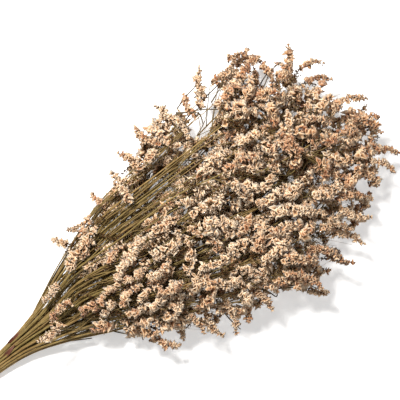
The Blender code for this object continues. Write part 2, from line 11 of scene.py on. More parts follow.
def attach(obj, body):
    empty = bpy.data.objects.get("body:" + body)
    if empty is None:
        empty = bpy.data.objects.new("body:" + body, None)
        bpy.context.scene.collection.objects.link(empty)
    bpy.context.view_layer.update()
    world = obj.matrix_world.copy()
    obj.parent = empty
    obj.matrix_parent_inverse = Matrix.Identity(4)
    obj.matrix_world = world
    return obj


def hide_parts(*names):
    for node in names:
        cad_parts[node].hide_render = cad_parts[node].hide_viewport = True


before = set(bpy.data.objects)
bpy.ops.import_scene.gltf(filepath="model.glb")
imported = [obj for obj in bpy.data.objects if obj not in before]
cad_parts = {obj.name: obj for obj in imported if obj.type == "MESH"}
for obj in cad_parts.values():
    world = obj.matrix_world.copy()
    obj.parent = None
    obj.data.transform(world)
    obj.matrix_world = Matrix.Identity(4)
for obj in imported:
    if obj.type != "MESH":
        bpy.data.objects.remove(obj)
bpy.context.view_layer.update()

# The stems and spikes are grown here once more, in millimetres, by the same rules and in the
# same order as the model's solids, so that the fine pieces lie where the solids are.
METRE = 0.001
SEED = 66

# How the photograph looks down on the bunch. A pixel's place along and across the bunch is
# its place in the picture turned by PHOTO_TURN, from PHOTO_CENTRE, times the scale.
PHOTO_SIDE = 400
PHOTO_TURN = math.radians(37.0)
PHOTO_MM_PER_PIXEL = 1.1
PHOTO_CENTRE = (208.5, 14.0)

# The room that the flowers fill: along, low side, high side, underside, top.
ROOM = (
    (-150, -8, 38, 2, 48),
    (-108, -22, 58, 0, 66),
    (-86, -36, 72, 0, 78),
    (-60, -64, 90, 0, 90),
    (-20, -80, 94, 0, 106),
    (24, -106, 108, 0, 120),
    (68, -112, 126, 0, 127),
    (112, -128, 131, 0, 128),
    (156, -126, 134, 0, 126),
    (200, -110, 132, 0, 120),
    (222, -98, 124, 0, 114),
    (244, -88, 108, 5, 107),
    (266, -80, 80, 11, 98),
    (284, -68, 40, 20, 88),
    (293, -60, 22, 28, 78),
)
PRESSED = 1.2  # the surface presses the lowest florets flat by up to this much

# Gaps that the photograph shows, with no spike above or below them: middle pixel and radius.
GAPS = (
    (266, 74, 9),
    (262, 90, 5),
    (312, 89, 4),
    (335, 88, 7),
    (353, 90, 8),
    (200, 124, 13),
    (187, 103, 6),
    (214, 98, 7),
    (362, 188, 6),
    (283, 298, 8),
    (301, 293, 6),
)
# Along this line of pixels the stems lie bare on top, and spikes keep to the lower part.
BARE_FLANK = (112, 232, 218, 130)
BARE_FLANK_HALF = 16
BARE_FLANK_HEIGHT = 0.5

# The main stems: along, middle across, half width, middle height, half height, twist.
BUNDLE = (
    (-290, 18.4, 10.2, 12.5, 9.6, -12),
    (-246, 17.4, 8.6, 12.0, 8.6, -3),
    (-216, 17.0, 8.7, 12.2, 8.7, 0),
    (-180, 17.0, 13.5, 16.6, 12.0, 4),
    (-136, 16.6, 26.5, 26, 19.8, 9),
    (-84, 17, 49, 36, 28, 15),
    (-18, 10, 74, 48, 40, 23),
    (58, 8, 92, 58, 48, 30),
    (140, 2, 99, 60, 49, 36),
    (222, 8, 87, 60, 42, 41),
    (290, -10, 50, 58, 28, 43),
)
STEM_RINGS = 3  # rings of 6, 12 and 18 stems round the middle one
SPRAYS = 1 + 3 * STEM_RINGS * (STEM_RINGS + 1)
STEM_RADIUS_LOW = 1.45
STEM_RADIUS_HIGH = 0.95
STEM_REACH = 0.87  # of the radius: how far the sides of two such stems reach towards each other
LONGEST_STEM_END = 268
DOME_DROP = 100  # how much sooner an outermost stem ends than a middle one
STEM_END_SPREAD = 80
CUT_END_SPREAD = 9
STEM_STRAY = 6  # how far a stem wanders from its even place among the flowers
TRIES_STEM = 30

# Twigs and flower spikes
TWIG_RADIUS = 0.95
STRAIGHT_STALK = 26  # a shorter stalk has no joint
SPIKE_STEPS = 4
SPIKE_REACH = 6.45  # florets stay this close to the middle line
SPIKE_LENGTH = (33, 50)
SPIKE_BEND = (30, 130)
CLEAR = 0.35  # least gap between two sprays
SPIKES = 224
TRIES_END = 90
TRIES_SIDE = 110
SIDE_ROUNDS = 9
WAYS_TRIED = 160  # ways from a stem to a given spike
FAR = 9.0  # wider gaps aren't told apart

# Spikes that stand out in the photograph: base pixel, tip pixel, the side that the outside of
# its curve faces (1 left of the way it grows, -1 right) and its height in the room (0 to 1).
PHOTO_SPIKES = (
    (202, 97, 199, 71, 1, 0.6),
    (214, 86, 236, 57, -1, 0.6),
    (239, 79, 257, 58, 1, 0.5),
    (253, 94, 255, 73, -1, 0.5),
    (281, 82, 288, 50, -1, 0.55),
    (307, 80, 329, 78, 1, 0.5),
    (328, 109, 361, 99, 1, 0.6),
    (346, 127, 376, 117, 1, 0.45),
    (352, 118, 376, 132, 1, 0.6),
    (372, 150, 398, 152, 1, 0.5),
    (364, 160, 391, 170, 1, 0.65),
    (352, 172, 377, 184, 1, 0.4),
    (343, 192, 367, 205, 1, 0.6),
    (338, 210, 366, 218, -1, 0.4),
    (333, 232, 362, 242, 1, 0.5),
    (322, 252, 352, 263, -1, 0.5),
    (300, 262, 330, 273, -1, 0.4),
    (296, 283, 328, 294, -1, 0.5),
    (238, 292, 250, 322, 1, 0.4),
    (226, 300, 236, 330, 1, 0.6),
    (203, 306, 221, 335, -1, 0.5),
    (170, 318, 183, 340, 1, 0.4),
    (150, 336, 178, 347, -1, 0.4),
    (128, 322, 154, 339, -1, 0.35),
    (196, 118, 184, 98, 1, 0.6),
    (190, 138, 168, 116, -1, 0.7),
    (176, 150, 154, 124, 1, 0.65),
    (132, 202, 118, 184, -1, 0.6),
    (340, 122, 366, 106, -1, 0.65),
    (322, 146, 350, 132, 1, 0.75),
    (334, 198, 360, 196, 1, 0.7),
    (318, 226, 348, 228, 1, 0.65),
    (306, 246, 340, 258, 1, 0.6),
    (284, 270, 318, 284, 1, 0.6),
    (250, 286, 270, 306, 1, 0.5),
    (186, 312, 204, 330, 1, 0.6),
    (172, 128, 158, 107, -1, 0.55),
    (158, 146, 136, 129, 1, 0.5),
    (140, 166, 122, 154, -1, 0.55),
    (132, 184, 112, 173, 1, 0.5),
    (106, 206, 93, 196, 1, 0.5),
    (84, 224, 70, 230, 1, 0.6),
    (66, 246, 52, 240, -1, 0.55),
    (58, 284, 46, 300, 1, 0.93),
    (70, 300, 52, 322, -1, 0.97),
    (64, 322, 44, 338, 1, 0.97),
    (116, 300, 104, 314, 1, 0.9),
)
PHOTO_SHIFTS = (0, 6, -6, 12, -12, 18, -18, 25, -25, 32, -32)  # heights tried until one has room
LONG_SPIKE = 24  # a shorter one bends less and has one step less

# Spikes low in the bunch that it rests on: along and across at the base, and the way they point.
RESTING_SPIKES = (
    (150, 66, 8),
    (150, -62, -12),
    (70, 48, 6),
    (66, -44, -8),
    (196, 10, 0),
    (0, -38, -14),
)
RESTING_PRESS = 0.9
RESTING_LENGTH = 40
RESTING_BEND = math.radians(8)
RESTING_SHIFTS = ((0, 0), (12, 0), (-12, 0), (0, 12), (0, -12), (24, 8), (-24, -8), (36, 0))

# The band round the stems
TIE_ALONG = -230
BAND_TURNS = 4
BAND_TURN_WIDTH = 2.6
BAND_THICK = 1.7
BAND_INNER = 10.4
BAND_STEPS = 28

# What is finer than the solids: thin stems between the main ones, and short spikes
FINE_SEED = 5
FINE_STEMS = 120
FINE_STEM_STRIDE = 7  # thin stems in a row leave sprays this far apart in the list
FINE_STEM_RADIUS = 0.7
FINE_STEM_CLEAR = 0.1
SURFACE_STEMS = 22
SURFACE_STEM_RADIUS = 0.8
ROOT_BEFORE = 12  # how far before its own first point a surface stem leaves its main one
FINE_SPIKES = 190
FINE_ROUNDS = 12
FINE_LENGTH = (20, 34)
FINE_REACH = 4.6
FINE_CLEAR = -1.6  # these spikes may run into each other a little
TRIES_FINE_STEM = 14
TRIES_FINE_END = 40
BROWN_ROUNDS = 6  # the last spikes, deep in the bunch, which carry only scales
BROWN_REACH = 3.2

# Spikes of the photograph that only this script shows, as in PHOTO_SPIKES
FINE_PHOTO_SPIKES = (
    (228, 60, 246, 52, -1, 0.55),
    (262, 66, 272, 92, 1, 0.6),
    (300, 66, 322, 62, 1, 0.5),
    (108, 262, 122, 246, 1, 0.9),
    (112, 290, 126, 270, -1, 0.92),
    (100, 302, 112, 286, 1, 0.95),
    (118, 276, 134, 258, 1, 0.95),
    (122, 302, 140, 284, 1, 0.95),
    (128, 280, 150, 262, -1, 0.95),
    (130, 314, 148, 300, -1, 0.9),
    (140, 298, 160, 284, 1, 0.95),
    (150, 276, 170, 262, -1, 0.95),
    (152, 304, 172, 292, 1, 0.92),
    (160, 290, 182, 280, -1, 0.95),
    (136, 250, 152, 234, 1, 0.95),
)


def unit(v):
    v = np.asarray(v, float)
    return v / np.linalg.norm(v)


def square_to(v, axis):
    """The part of v at right angles to axis, as a unit vector."""
    v = np.asarray(v, float)
    return unit(v - np.dot(v, axis) * axis)


def swung(turn, first, second):
    """A way turned by an angle from the first one towards the second."""
    return math.cos(turn) * first + math.sin(turn) * second


def read_between(at, known, rows):
    """Rows of values, known at some places, read between them at others."""
    return np.stack([np.interp(at, known, column) for column in rows.T], axis=-1)


def photo_point(u, v):
    """Where a pixel of the photograph lies, along and across the bunch."""
    up = PHOTO_SIDE - v
    along = u * math.cos(PHOTO_TURN) + up * math.sin(PHOTO_TURN)
    across = up * math.cos(PHOTO_TURN) - u * math.sin(PHOTO_TURN)
    return np.array([along - PHOTO_CENTRE[0], across - PHOTO_CENTRE[1]]) * PHOTO_MM_PER_PIXEL


def pixels_of(points):
    """The pixel of the photograph over each point."""
    along = points[:, 0] / PHOTO_MM_PER_PIXEL + PHOTO_CENTRE[0]
    across = points[:, 1] / PHOTO_MM_PER_PIXEL + PHOTO_CENTRE[1]
    u = along * math.cos(PHOTO_TURN) - across * math.sin(PHOTO_TURN)
    v = PHOTO_SIDE - along * math.sin(PHOTO_TURN) - across * math.cos(PHOTO_TURN)
    return np.stack([u, v], axis=1)


def columns_at(table, along):
    """Each column of a table, read between its rows at a distance along the bunch."""
    rows = np.array(table, float)
    return [np.interp(along, rows[:, 0], rows[:, k]) for k in range(1, rows.shape[1])]


def height_in_room(along, level):
    """The height of a level, from 0 at the underside of the room to 1 at its top."""
    _, _, under, top = columns_at(ROOM, along)
    return under + level * (top - under)


def is_in_room(points, reach):
    """Whether balls of this reach at the points stay in the room for flowers."""
    if points[:, 0].max() + reach > ROOM[-1][0] or points[:, 0].min() < ROOM[0][0]:
        return False
    low, high, under, top = columns_at(ROOM, points[:, 0])
    across = (points[:, 1] - (low + high) / 2) / np.maximum((high - low) / 2 - reach, 1)
    height = (points[:, 2] - (under + top) / 2) / np.maximum((top - under) / 2 - reach + PRESSED / 2, 1)
    power = np.where(height > 0, 2.6, 3.2)
    if (np.abs(across) ** power + np.abs(height) ** power > 1).any():
        return False
    pixels = pixels_of(points)
    for u, v, radius in GAPS:
        if np.hypot(pixels[:, 0] - u, pixels[:, 1] - v).min() < radius + 0.5 * reach:
            return False
    start, end = np.array(BARE_FLANK[:2]), np.array(BARE_FLANK[2:])
    line = (end - start) / np.linalg.norm(end - start)
    from_start = pixels - start
    beside = np.abs(from_start[:, 0] * line[1] - from_start[:, 1] * line[0]) < BARE_FLANK_HALF
    beside &= (from_start @ line > 0) & (from_start @ line < np.linalg.norm(end - start))
    return not (beside & (points[:, 2] > under + BARE_FLANK_HEIGHT * (top - under))).any()


def segment_gaps(starts, ends, other_starts, other_ends):
    """The least distance between each straight length of one list and each of another."""
    d1 = (ends - starts)[:, None]
    d2 = (other_ends - other_starts)[None]
    r = starts[:, None] - other_starts[None]
    a = (d1 * d1).sum(-1)
    e = (d2 * d2).sum(-1)
    b = (d1 * d2).sum(-1)
    c = (d1 * r).sum(-1)
    f = (d2 * r).sum(-1)
    lean = a * e - b * b
    s = np.clip(np.where(lean > 1e-9, (b * f - c * e) / np.maximum(lean, 1e-9), 0), 0, 1)
    t = np.clip((b * s + f) / e, 0, 1)
    s = np.clip((b * t - c) / a, 0, 1)
    return np.linalg.norm(r + s[..., None] * d1 - t[..., None] * d2, axis=-1)


class Bunch:
    """Every straight length laid so far, with its reach and its piece, to keep new ones clear."""

    def __init__(self):
        self.starts = np.zeros((0, 3))
        self.ends = np.zeros((0, 3))
        self.reach = np.zeros(0)
        self.piece = np.zeros(0, int)
        self.middles = np.zeros((0, 3))
        self.count = 0

    def lay(self, starts, ends, reach):
        """Adds one piece and returns its number."""
        self.starts = np.vstack([self.starts, starts])
        self.ends = np.vstack([self.ends, ends])
        self.reach = np.concatenate([self.reach, reach])
        self.piece = np.concatenate([self.piece, np.full(len(reach), self.count)])
        self.count += 1
        return self.count - 1

    def lay_path(self, path, reach):
        return self.lay(path[:-1], path[1:], reach)

    def drop(self, piece):
        kept = self.piece != piece
        self.starts, self.ends = self.starts[kept], self.ends[kept]
        self.reach, self.piece = self.reach[kept], self.piece[kept]

    def least_gap(self, starts, ends, reach, parent=None, root=None, rooted=1):
        """The least gap to anything laid. The first lengths may meet the parent at the root."""
        low = np.minimum(starts, ends).min(0) - FAR
        high = np.maximum(starts, ends).max(0) + FAR
        near = (np.minimum(self.starts, self.ends) < high).all(1)
        near &= (np.maximum(self.starts, self.ends) > low).all(1)
        if not near.any():
            return FAR
        gaps = segment_gaps(starts, ends, self.starts[near], self.ends[near])
        gaps -= reach[:, None] + self.reach[near][None]
        if parent is not None:
            to_root = segment_gaps(root[None], root[None] + 1e-3, self.starts[near], self.ends[near])
            gaps[:rooted, (self.piece[near] == parent) & (to_root[0] < 0.8)] = FAR
        return float(gaps.min())


def warp(points):
    """Bends the whole bundle a little, more among the flowers, so that no stem runs straight."""
    x, y, z = points[:, 0], points[:, 1], points[:, 2]
    amount = np.clip((x + 200) / 190, 0, 1)
    side = 5.0 * np.sin(x / 31 + z / 26 + 0.6) + 3.6 * np.sin(x / 53 - z / 19 + y / 70)
    lift = 3.2 * np.sin(x / 37 + y / 29 + 2.0)
    return points + np.stack([np.zeros_like(x), amount * side, amount * lift], axis=1)


def place_in_tie(index):
    """A stem's ring, as a share of the outermost, and its angle in the ring."""
    ring = 0
    while index > 3 * ring * (ring + 1):
        ring += 1
    if not ring:
        return 0.0, 0.0
    step = index - 1 - 3 * ring * (ring - 1)
    return ring / STEM_RINGS, 2 * math.pi * step / (6 * ring) + 0.35 * ring


def stem_points(ring, angle, far, stray):
    """A stem from a place of the tie, from its cut end to its far end."""
    stations = [row[0] for row in BUNDLE if row[0] < far - 25] + [far]
    points = []
    for along in stations:
        middle, wide, height, tall, twist = columns_at(BUNDLE, along)
        turned = angle + math.radians(twist)
        amount = np.clip((along + 140) / 200, 0, 1)
        points.append((
            along,
            middle + wide * ring * math.cos(turned) + amount * stray[0],
            height + tall * ring * math.sin(turned) + amount * stray[1],
        ))
    return warp(np.array(points))


def nearest_stem(stems, point):
    """The number of the stem that passes closest beside a point."""
    return int(np.argmin([
        np.linalg.norm(read_between(point[0], stem[:, 0], stem[:, 1:]) - point[1:]) for stem in stems
    ]))


def stem_reach(stem):
    """How far each length of a main stem reaches from its middle line."""
    return STEM_REACH * np.linspace(STEM_RADIUS_LOW, STEM_RADIUS_HIGH, len(stem))[:-1]


def curved_spike(base, direction, faces_to, length, bend, steps=SPIKE_STEPS):
    """Points of a spike that curls over, and at each point the way its florets face."""
    back = square_to(faces_to, direction)
    points = [np.asarray(base, float)]
    faces = []
    for k in range(steps + 1):
        turn = bend * (k / steps) ** 1.25
        faces.append(swung(turn, back, direction))
        if k < steps:
            half = bend * ((k + 0.5) / steps) ** 1.25
            points.append(points[-1] + swung(-half, direction, back) * length / steps)
    return np.array(points), np.array(faces)


class Twig:
    """A stalk from its root on a parent to the base of its spike, and the spike."""

    reach = SPIKE_REACH
    bare = False  # whether only scales grow on it
    drawn = False  # whether its place is in a table above

    def __init__(self, root, stalk, spike, faces):
        self.reach = Twig.reach
        self.bare = Twig.bare
        self.root = root
        self.stalk = np.array(stalk)
        self.spike = spike
        self.faces = faces

    def lengths(self):
        """Its straight lengths, with more reach along the spike."""
        starts = np.vstack([self.stalk[:-1], self.spike[:-1]])
        ends = np.vstack([self.stalk[1:], self.spike[1:]])
        reach = np.array([TWIG_RADIUS] * (len(self.stalk) - 1) + [self.reach] * (len(self.spike) - 1))
        reach[-1] = self.reach - 1
        return starts, ends, reach


def outward(point):
    """Away from the middle of the bunch, with a lean upwards."""
    low, high, under, top = columns_at(ROOM, point[0])
    y = (point[1] - (low + high) / 2) / (high - low)
    z = (point[2] - (under + top) / 2) / (top - under)
    return unit((0.15, 1.1 * y, 1.4 * z + 0.45))


def steps_of(path):
    """The length of each straight part of a path."""
    return np.linalg.norm(np.diff(path, axis=0), axis=1)


def point_along(path, distance):
    """The point at this distance along a path, and the path's direction there."""
    steps = steps_of(path)
    for k, step in enumerate(steps):
        if distance <= step or k == len(steps) - 1:
            direction = (path[k + 1] - path[k]) / step
            return path[k] + direction * min(distance, step), direction
        distance -= step


def path_length(path):
    return float(steps_of(path).sum())


def shortened(path, length):
    """The first part of a path."""
    point, _ = point_along(path, length)
    steps = np.cumsum(steps_of(path))
    return np.vstack([path[:1], path[1:][steps < length - 3], point])


def turned_from(axis, angle, around):
    """A direction at an angle from an axis, turned round it."""
    first = square_to((0.13, 0.37, 0.92), axis)
    second = np.cross(axis, first)
    return swung(angle, axis, swung(around, first, second))


def side_twig(root, tangent, leave, length, rng, spike_length):
    """A twig that leaves its parent in one direction and then turns a little forward."""
    if length > STRAIGHT_STALK:
        direction = unit(leave + rng.uniform(0.05, 0.3) * tangent)
        joint = root + leave * length * 0.5
        stalk = [root, joint, joint + direction * length * 0.5]
    else:
        direction = leave
        stalk = [root, root + leave * length]
    faces_to = outward(root) + rng.normal(0, 0.45, 3)
    bend = math.radians(rng.uniform(*SPIKE_BEND))
    spike, faces = curved_spike(stalk[-1], direction, faces_to, rng.uniform(*spike_length), bend)
    return Twig(root, stalk, spike, faces)


def end_twig(stem, rng, spike_length=SPIKE_LENGTH):
    """The spike that carries on from the end of a main stem."""
    tangent = unit(stem[-1] - stem[-2])
    root = stem[-1] - 4 * tangent
    start = turned_from(tangent, rng.uniform(0, 0.25), rng.uniform(0, 2 * math.pi))
    faces_to = outward(root) + rng.normal(0, 0.4, 3)
    bend = math.radians(rng.uniform(*SPIKE_BEND))
    spike, faces = curved_spike(root + 3 * start, start, faces_to, rng.uniform(*spike_length), bend)
    return Twig(root, [root, root + 3 * start], spike, faces)


class Growth:
    """Main stems with their twigs, all clear of each other."""

    clear = CLEAR
    roots = None

    def __init__(self, rng):
        self.rng = rng
        self.bunch = Bunch()
        self.stems = []
        self.twigs = [[] for _ in range(SPRAYS)]
        self.pieces = []
        for index in range(SPRAYS):
            self.grow_stem(index)
        for index in range(SPRAYS):
            self.grow_end(index)
        for spike in RESTING_SPIKES:
            self.grow_resting_spike(*spike)
        for spike in PHOTO_SPIKES:
            self.grow_photo_spike(*spike)
        self.grow_sides(SIDE_ROUNDS, SPIKES, SPIKE_LENGTH)

    def count_twigs(self):
        return sum(len(twigs) for twigs in self.twigs)

    def grow_sides(self, rounds, wanted, spike_length):
        """Goes round the sprays in turn until there are as many spikes as wanted."""
        order = list(range(SPRAYS))
        for _ in range(rounds):
            self.rng.shuffle(order)
            for index in order:
                if self.count_twigs() < wanted:
                    self.grow_side(index, spike_length)

    def grow_stem(self, index):
        ring, angle = place_in_tie(index)
        best = None
        for tries in range(TRIES_STEM):
            far = LONGEST_STEM_END - DOME_DROP * ring ** 2.2 - self.rng.uniform(0, STEM_END_SPREAD)
            stray = self.rng.normal(0, STEM_STRAY, 2) * (1 - tries / 40)
            stem = stem_points(ring, angle, far, stray)
            stem[0, 0] += self.rng.uniform(0, CUT_END_SPREAD)
            reach = stem_reach(stem)
            gap = self.bunch.least_gap(stem[:-1], stem[1:], reach)
            if stem[:, 2].min() < 1.6:
                gap = -FAR
            if best is None or gap > best[0]:
                best = (gap, stem, reach)
            if gap > CLEAR * 0.8:
                break
        self.stems.append(best[1])
        self.pieces.append([self.bunch.lay_path(*best[1:])])

    def fits(self, twig, parent, rooted=1, in_room=True):
        if in_room and not is_in_room(twig.spike, SPIKE_REACH - 1):
            return False
        if twig.stalk[:, 2].min() < 2 or (twig.spike[:, 2] - SPIKE_REACH).min() < -PRESSED:
            return False
        return self.bunch.least_gap(*twig.lengths(), parent, twig.root, rooted) >= self.clear

    def keep(self, index, twig):
        self.pieces[index].append(self.bunch.lay(*twig.lengths()))
        self.twigs[index].append(twig)
        self.bunch.middles = np.vstack([self.bunch.middles, twig.spike[len(twig.spike) // 2]])

    def openness(self, twig):
        """How far the middle of a spike is from the nearest one laid."""
        if not len(self.bunch.middles):
            return 30.0
        middle = twig.spike[len(twig.spike) // 2]
        gap = np.linalg.norm((self.bunch.middles - middle) * (1, 1, 0.75), axis=1).min()
        return gap + 0.05 * middle[2]

    def reach_out(self, spike, faces):
        """Joins a spike to whichever stem reaches it most directly, and says whether one can."""
        if self.roots is None:
            self.roots = [
                (index, *point_along(stem, distance))
                for index, stem in enumerate(self.stems)
                for distance in np.arange(90, path_length(stem) - 8, 9)
            ]
            self.root_points = np.array([row[1] for row in self.roots])
            self.root_ways = np.array([row[2] for row in self.roots])
        start = unit(spike[1] - spike[0])
        way = spike[0] - self.root_points
        length = np.linalg.norm(way, axis=1)
        angle = np.degrees(np.arccos(np.clip((way * self.root_ways).sum(1) / length, -1, 1)))
        order = np.argsort(length + 1.2 * np.abs(angle - 28), kind="stable")
        order = order[((7 < length) & (length < 110) & (angle < 75))[order]]
        for k in order[:WAYS_TRIED]:
            index, root, tangent = self.roots[k]
            stalk = [root, spike[0]]
            if length[k] > 13:
                stalk.insert(1, (root + spike[0]) / 2 + 0.1 * length[k] * (tangent - start))
            twig = Twig(root, stalk, spike, faces)
            if self.fits(twig, self.pieces[index][0], in_room=False):
                twig.drawn = True
                self.keep(index, twig)
                return True
        return False

    def fill(self, rng):
        """Adds what is finer than the solids, each on the spray that carries it."""
        self.rng = rng
        self.clear = FINE_CLEAR
        Twig.reach = FINE_REACH
        self.fine_stems = []
        self.solid_twigs = [len(twigs) for twigs in self.twigs]
        for spike in FINE_PHOTO_SPIKES:
            self.grow_photo_spike(*spike)
        for k in range(FINE_STEMS):
            self.grow_fine_stem(k * FINE_STEM_STRIDE % SPRAYS)
        for _ in range(SURFACE_STEMS):
            self.grow_surface_stem()
        self.grow_sides(FINE_ROUNDS, self.count_twigs() + FINE_SPIKES, FINE_LENGTH)
        Twig.bare = True
        Twig.reach = BROWN_REACH
        for _ in range(BROWN_ROUNDS):
            for index in range(SPRAYS):
                self.grow_side(index, FINE_LENGTH)

    def grow_surface_stem(self):
        """A bare stem that runs over the flowers on the side where the photograph shows such stems."""
        rng = self.rng
        final = rng.uniform(8, 105)
        far = rng.uniform(-10, 165)
        leaves = rng.uniform(-205, -150)
        path = stem_points(rng.uniform(0.98, 1.1), math.radians(final - 32), far, rng.normal(0, 3, 2))
        path = path[path[:, 0] > leaves]
        index = nearest_stem(self.stems, path[0])
        main = self.stems[index]
        start = path[0, 0] - ROOT_BEFORE
        path = np.vstack([(start, *read_between(start, main[:, 0], main[:, 1:])), path])
        self.end_fine_stem(index, path, SURFACE_STEM_RADIUS)

    def grow_fine_stem(self, index):
        """A thin stem that leaves a main one beyond the tie, finds its own way and ends in a spike."""
        rng = self.rng
        main = self.stems[index]
        best = None
        for _ in range(TRIES_FINE_STEM):
            leaves = rng.uniform(-206, -60)
            far = rng.uniform(max(leaves + 120, -60), 215)
            ring, angle = rng.uniform(0.1, 1.0) ** 0.6, rng.uniform(0, 2 * math.pi)
            own = stem_points(ring, angle, far, rng.normal(0, STEM_STRAY, 2))
            along = np.linspace(leaves, min(far, main[-1, 0] - 12), 9)
            share = np.clip((along - leaves) / rng.uniform(70, 150), 0, 1)[:, None]
            share = share * share * (3 - 2 * share)
            main_path, own_path = (read_between(along, stem[:, 0], stem) for stem in (main, own))
            path = main_path * (1 - share) + own_path * share
            apart = np.linalg.norm(path[4] - main_path[4])
            if apart < 5 or apart > 60 or path[:, 2].min() < 2:
                continue
            reach = np.full(len(path) - 1, FINE_STEM_RADIUS)
            gap = self.bunch.least_gap(path[:-1], path[1:], reach, self.pieces[index][0], path[0], 3)
            if best is None or gap > best[0]:
                best = (gap, path)
            if gap > FINE_STEM_CLEAR:
                break
        if best:
            self.end_fine_stem(index, best[1], FINE_STEM_RADIUS)

    def end_fine_stem(self, index, path, radius):
        """Keeps a thin stem, and gives it a spike at its end where one fits."""
        self.fine_stems.append((index, path))
        piece = self.bunch.lay_path(path, np.full(len(path) - 1, radius))
        for _ in range(TRIES_FINE_END):
            twig = end_twig(path, self.rng, FINE_LENGTH)
            if self.fits(twig, piece, 3):
                self.keep(index, twig)
                return

    def grow_resting_spike(self, along, across, turn):
        """A spike that lies on the surface, near its place."""
        heading = math.radians(turn)
        flat = np.array([math.cos(heading), math.sin(heading), 0])
        up = np.array([0, 0, 1.0])
        start = swung(RESTING_BEND / 2, flat, up)
        for dx, dy in RESTING_SHIFTS:
            base = np.array([along + dx, across + dy, SPIKE_REACH - RESTING_PRESS])
            if self.reach_out(*curved_spike(base, start, up, RESTING_LENGTH, RESTING_BEND)):
                return

    def grow_photo_spike(self, u0, v0, u1, v1, side, level):
        """A spike that the photograph shows."""
        base, tip = photo_point(u0, v0), photo_point(u1, v1)
        chord = np.array([*(tip - base), 0.0])
        reach = float(np.linalg.norm(chord))
        chord = chord / reach
        left = np.array([-chord[1], chord[0], 0.0])
        base = base - 0.1 * reach * side * left[:2]
        faces_to = unit(0.75 * side * left + np.array([0, 0, 0.66]))
        bend = math.radians(75 if reach > LONG_SPIKE else 45)
        start = swung(bend / 2, chord, faces_to)
        steps = SPIKE_STEPS if reach > LONG_SPIKE else SPIKE_STEPS - 1
        for shift in PHOTO_SHIFTS:
            height = np.clip(height_in_room(base[0], level) + shift, 8, 140)
            spike = curved_spike(np.array([*base, height]), start, faces_to, reach * 1.08, bend, steps)
            if self.reach_out(*spike):
                return

    def grow_end(self, index):
        """The spike that ends a main stem, which is cut shorter where there is no room for it."""
        whole = self.stems[index]
        piece = self.pieces[index][0]
        for share in (1, 0.95, 0.9, 0.85, 0.8, 0.75, 0.7):
            stem = shortened(whole, share * path_length(whole))
            best = None
            for _ in range(TRIES_END):
                twig = end_twig(stem, self.rng)
                score = self.openness(twig)
                if (best is None or score > best[0]) and self.fits(twig, piece, 3):
                    best = (score, twig)
            if best:
                self.stems[index] = stem
                self.bunch.drop(piece)
                self.pieces[index][0] = self.bunch.lay_path(stem, stem_reach(stem))
                self.keep(index, best[1])
                return

    def grow_side(self, index, spike_length):
        """One more twig on a spray, where the bunch has most room."""
        rng = self.rng
        best = None
        for _ in range(TRIES_SIDE):
            if self.twigs[index] and rng.random() < 0.4:
                pick = int(rng.integers(len(self.twigs[index])))
                path = self.twigs[index][pick].stalk
                total = path_length(path)
                if total < 14:
                    continue
                parent = self.pieces[index][pick + 1]
                root, tangent = point_along(path, rng.uniform(5, total - 8))
                length = rng.uniform(7, 24)
                angle = math.radians(rng.uniform(28, 62))
            else:
                path = self.stems[index]
                total = path_length(path)
                parent = self.pieces[index][0]
                root, tangent = point_along(path, rng.uniform(0.36 * total, total - 9))
                length = rng.uniform(13, 58)
                angle = math.radians(rng.uniform(24, 55))
            leave = turned_from(tangent, angle, rng.uniform(0, 2 * math.pi))
            twig = side_twig(root, tangent, leave, length, rng, spike_length)
            score = self.openness(twig)
            if (best is None or score > best[0]) and self.fits(twig, parent):
                best = (score, twig)
        if best:
            self.keep(index, best[1])


# The looks from here on. Lengths stay in millimetres until a mesh is written.
LOOKS_SEED = 11
STALK, FLORET, BRACT, LEAF = range(4)  # the material slots of a piece
GROUND_GAP = 0.02
STEM_STEP = 9.0
TWIG_STEPS = 12
FLORET_STEP = 3.8  # along a spike, with three to five florets abreast at each step
FLORET_LENGTH = 6.0
FLORET_RIM = 2.75
FLORET_SIDES = 10
BRACT_LENGTH = 3.3
BRACT_WIDTH = 2.0

# For each kind of floret: how wide it opens, how crumpled it is, and how flat (the flattest are fans)
OPENNESS = (1.0, 1.18, 0.92, 1.08, 0.84, 1.0, 1.3, 0.68, 0.5)
CRUMPLE = (0.12, 0.16, 0.2, 0.22, 0.24, 0.28, 0.2, 0.22, 0.14)
FLATNESS = (0.2, 0.6, 0.35, 0.5, 0.66, 0.4, 0.62, 0.3, 0.3)
FLORET_KINDS = len(OPENNESS)
BRACT_KIND = 2 * FLORET_KINDS  # after the full florets and the plain ones

# How far round a spike its florets point, in degrees from its outer side, at even and odd steps
RANKS = ((-48, 18, 82), (-82, -18, 48))
DRAWN_RANKS = ((-88, -35, 20, 70, 125), (-125, -70, -20, 35, 88))
TIP_RANKS = (-50, 30)
TIP_FROM = 0.93  # of the spike's length
YOUNG_FROM = 0.86
MISSING_FLORETS = 0.06

# Stalks: radius at the root and at the tip, sides, and how grey they are
STEM_TUBE = (1.5, 0.7, 7, 0)
FINE_STEM_TUBE = (0.9, 0.5, 4, 0.2)
TWIG_TUBE = (0.55, 0.25, 4, 0.6)
FINE_TWIG_TUBE = (0.42, 0.25, 4, 0.6)
STRAY_TUBE = (0.8, 0.6, 5, 1.6)
BARE_TUBE = (0.36, 0.16, 3, 1.0)
STRAND_TUBE = (1.05, 1.05, 8, 0)
CROSSING_TUBE = (0.95, 0.95, 8, 0)
STEM_KNOBS = 0.06
BARE_TWIGS = 55
BAND_START = 2.2  # radians round the stems, where the band's ends lie
BAND_CROSSING_LIFT = 1.1

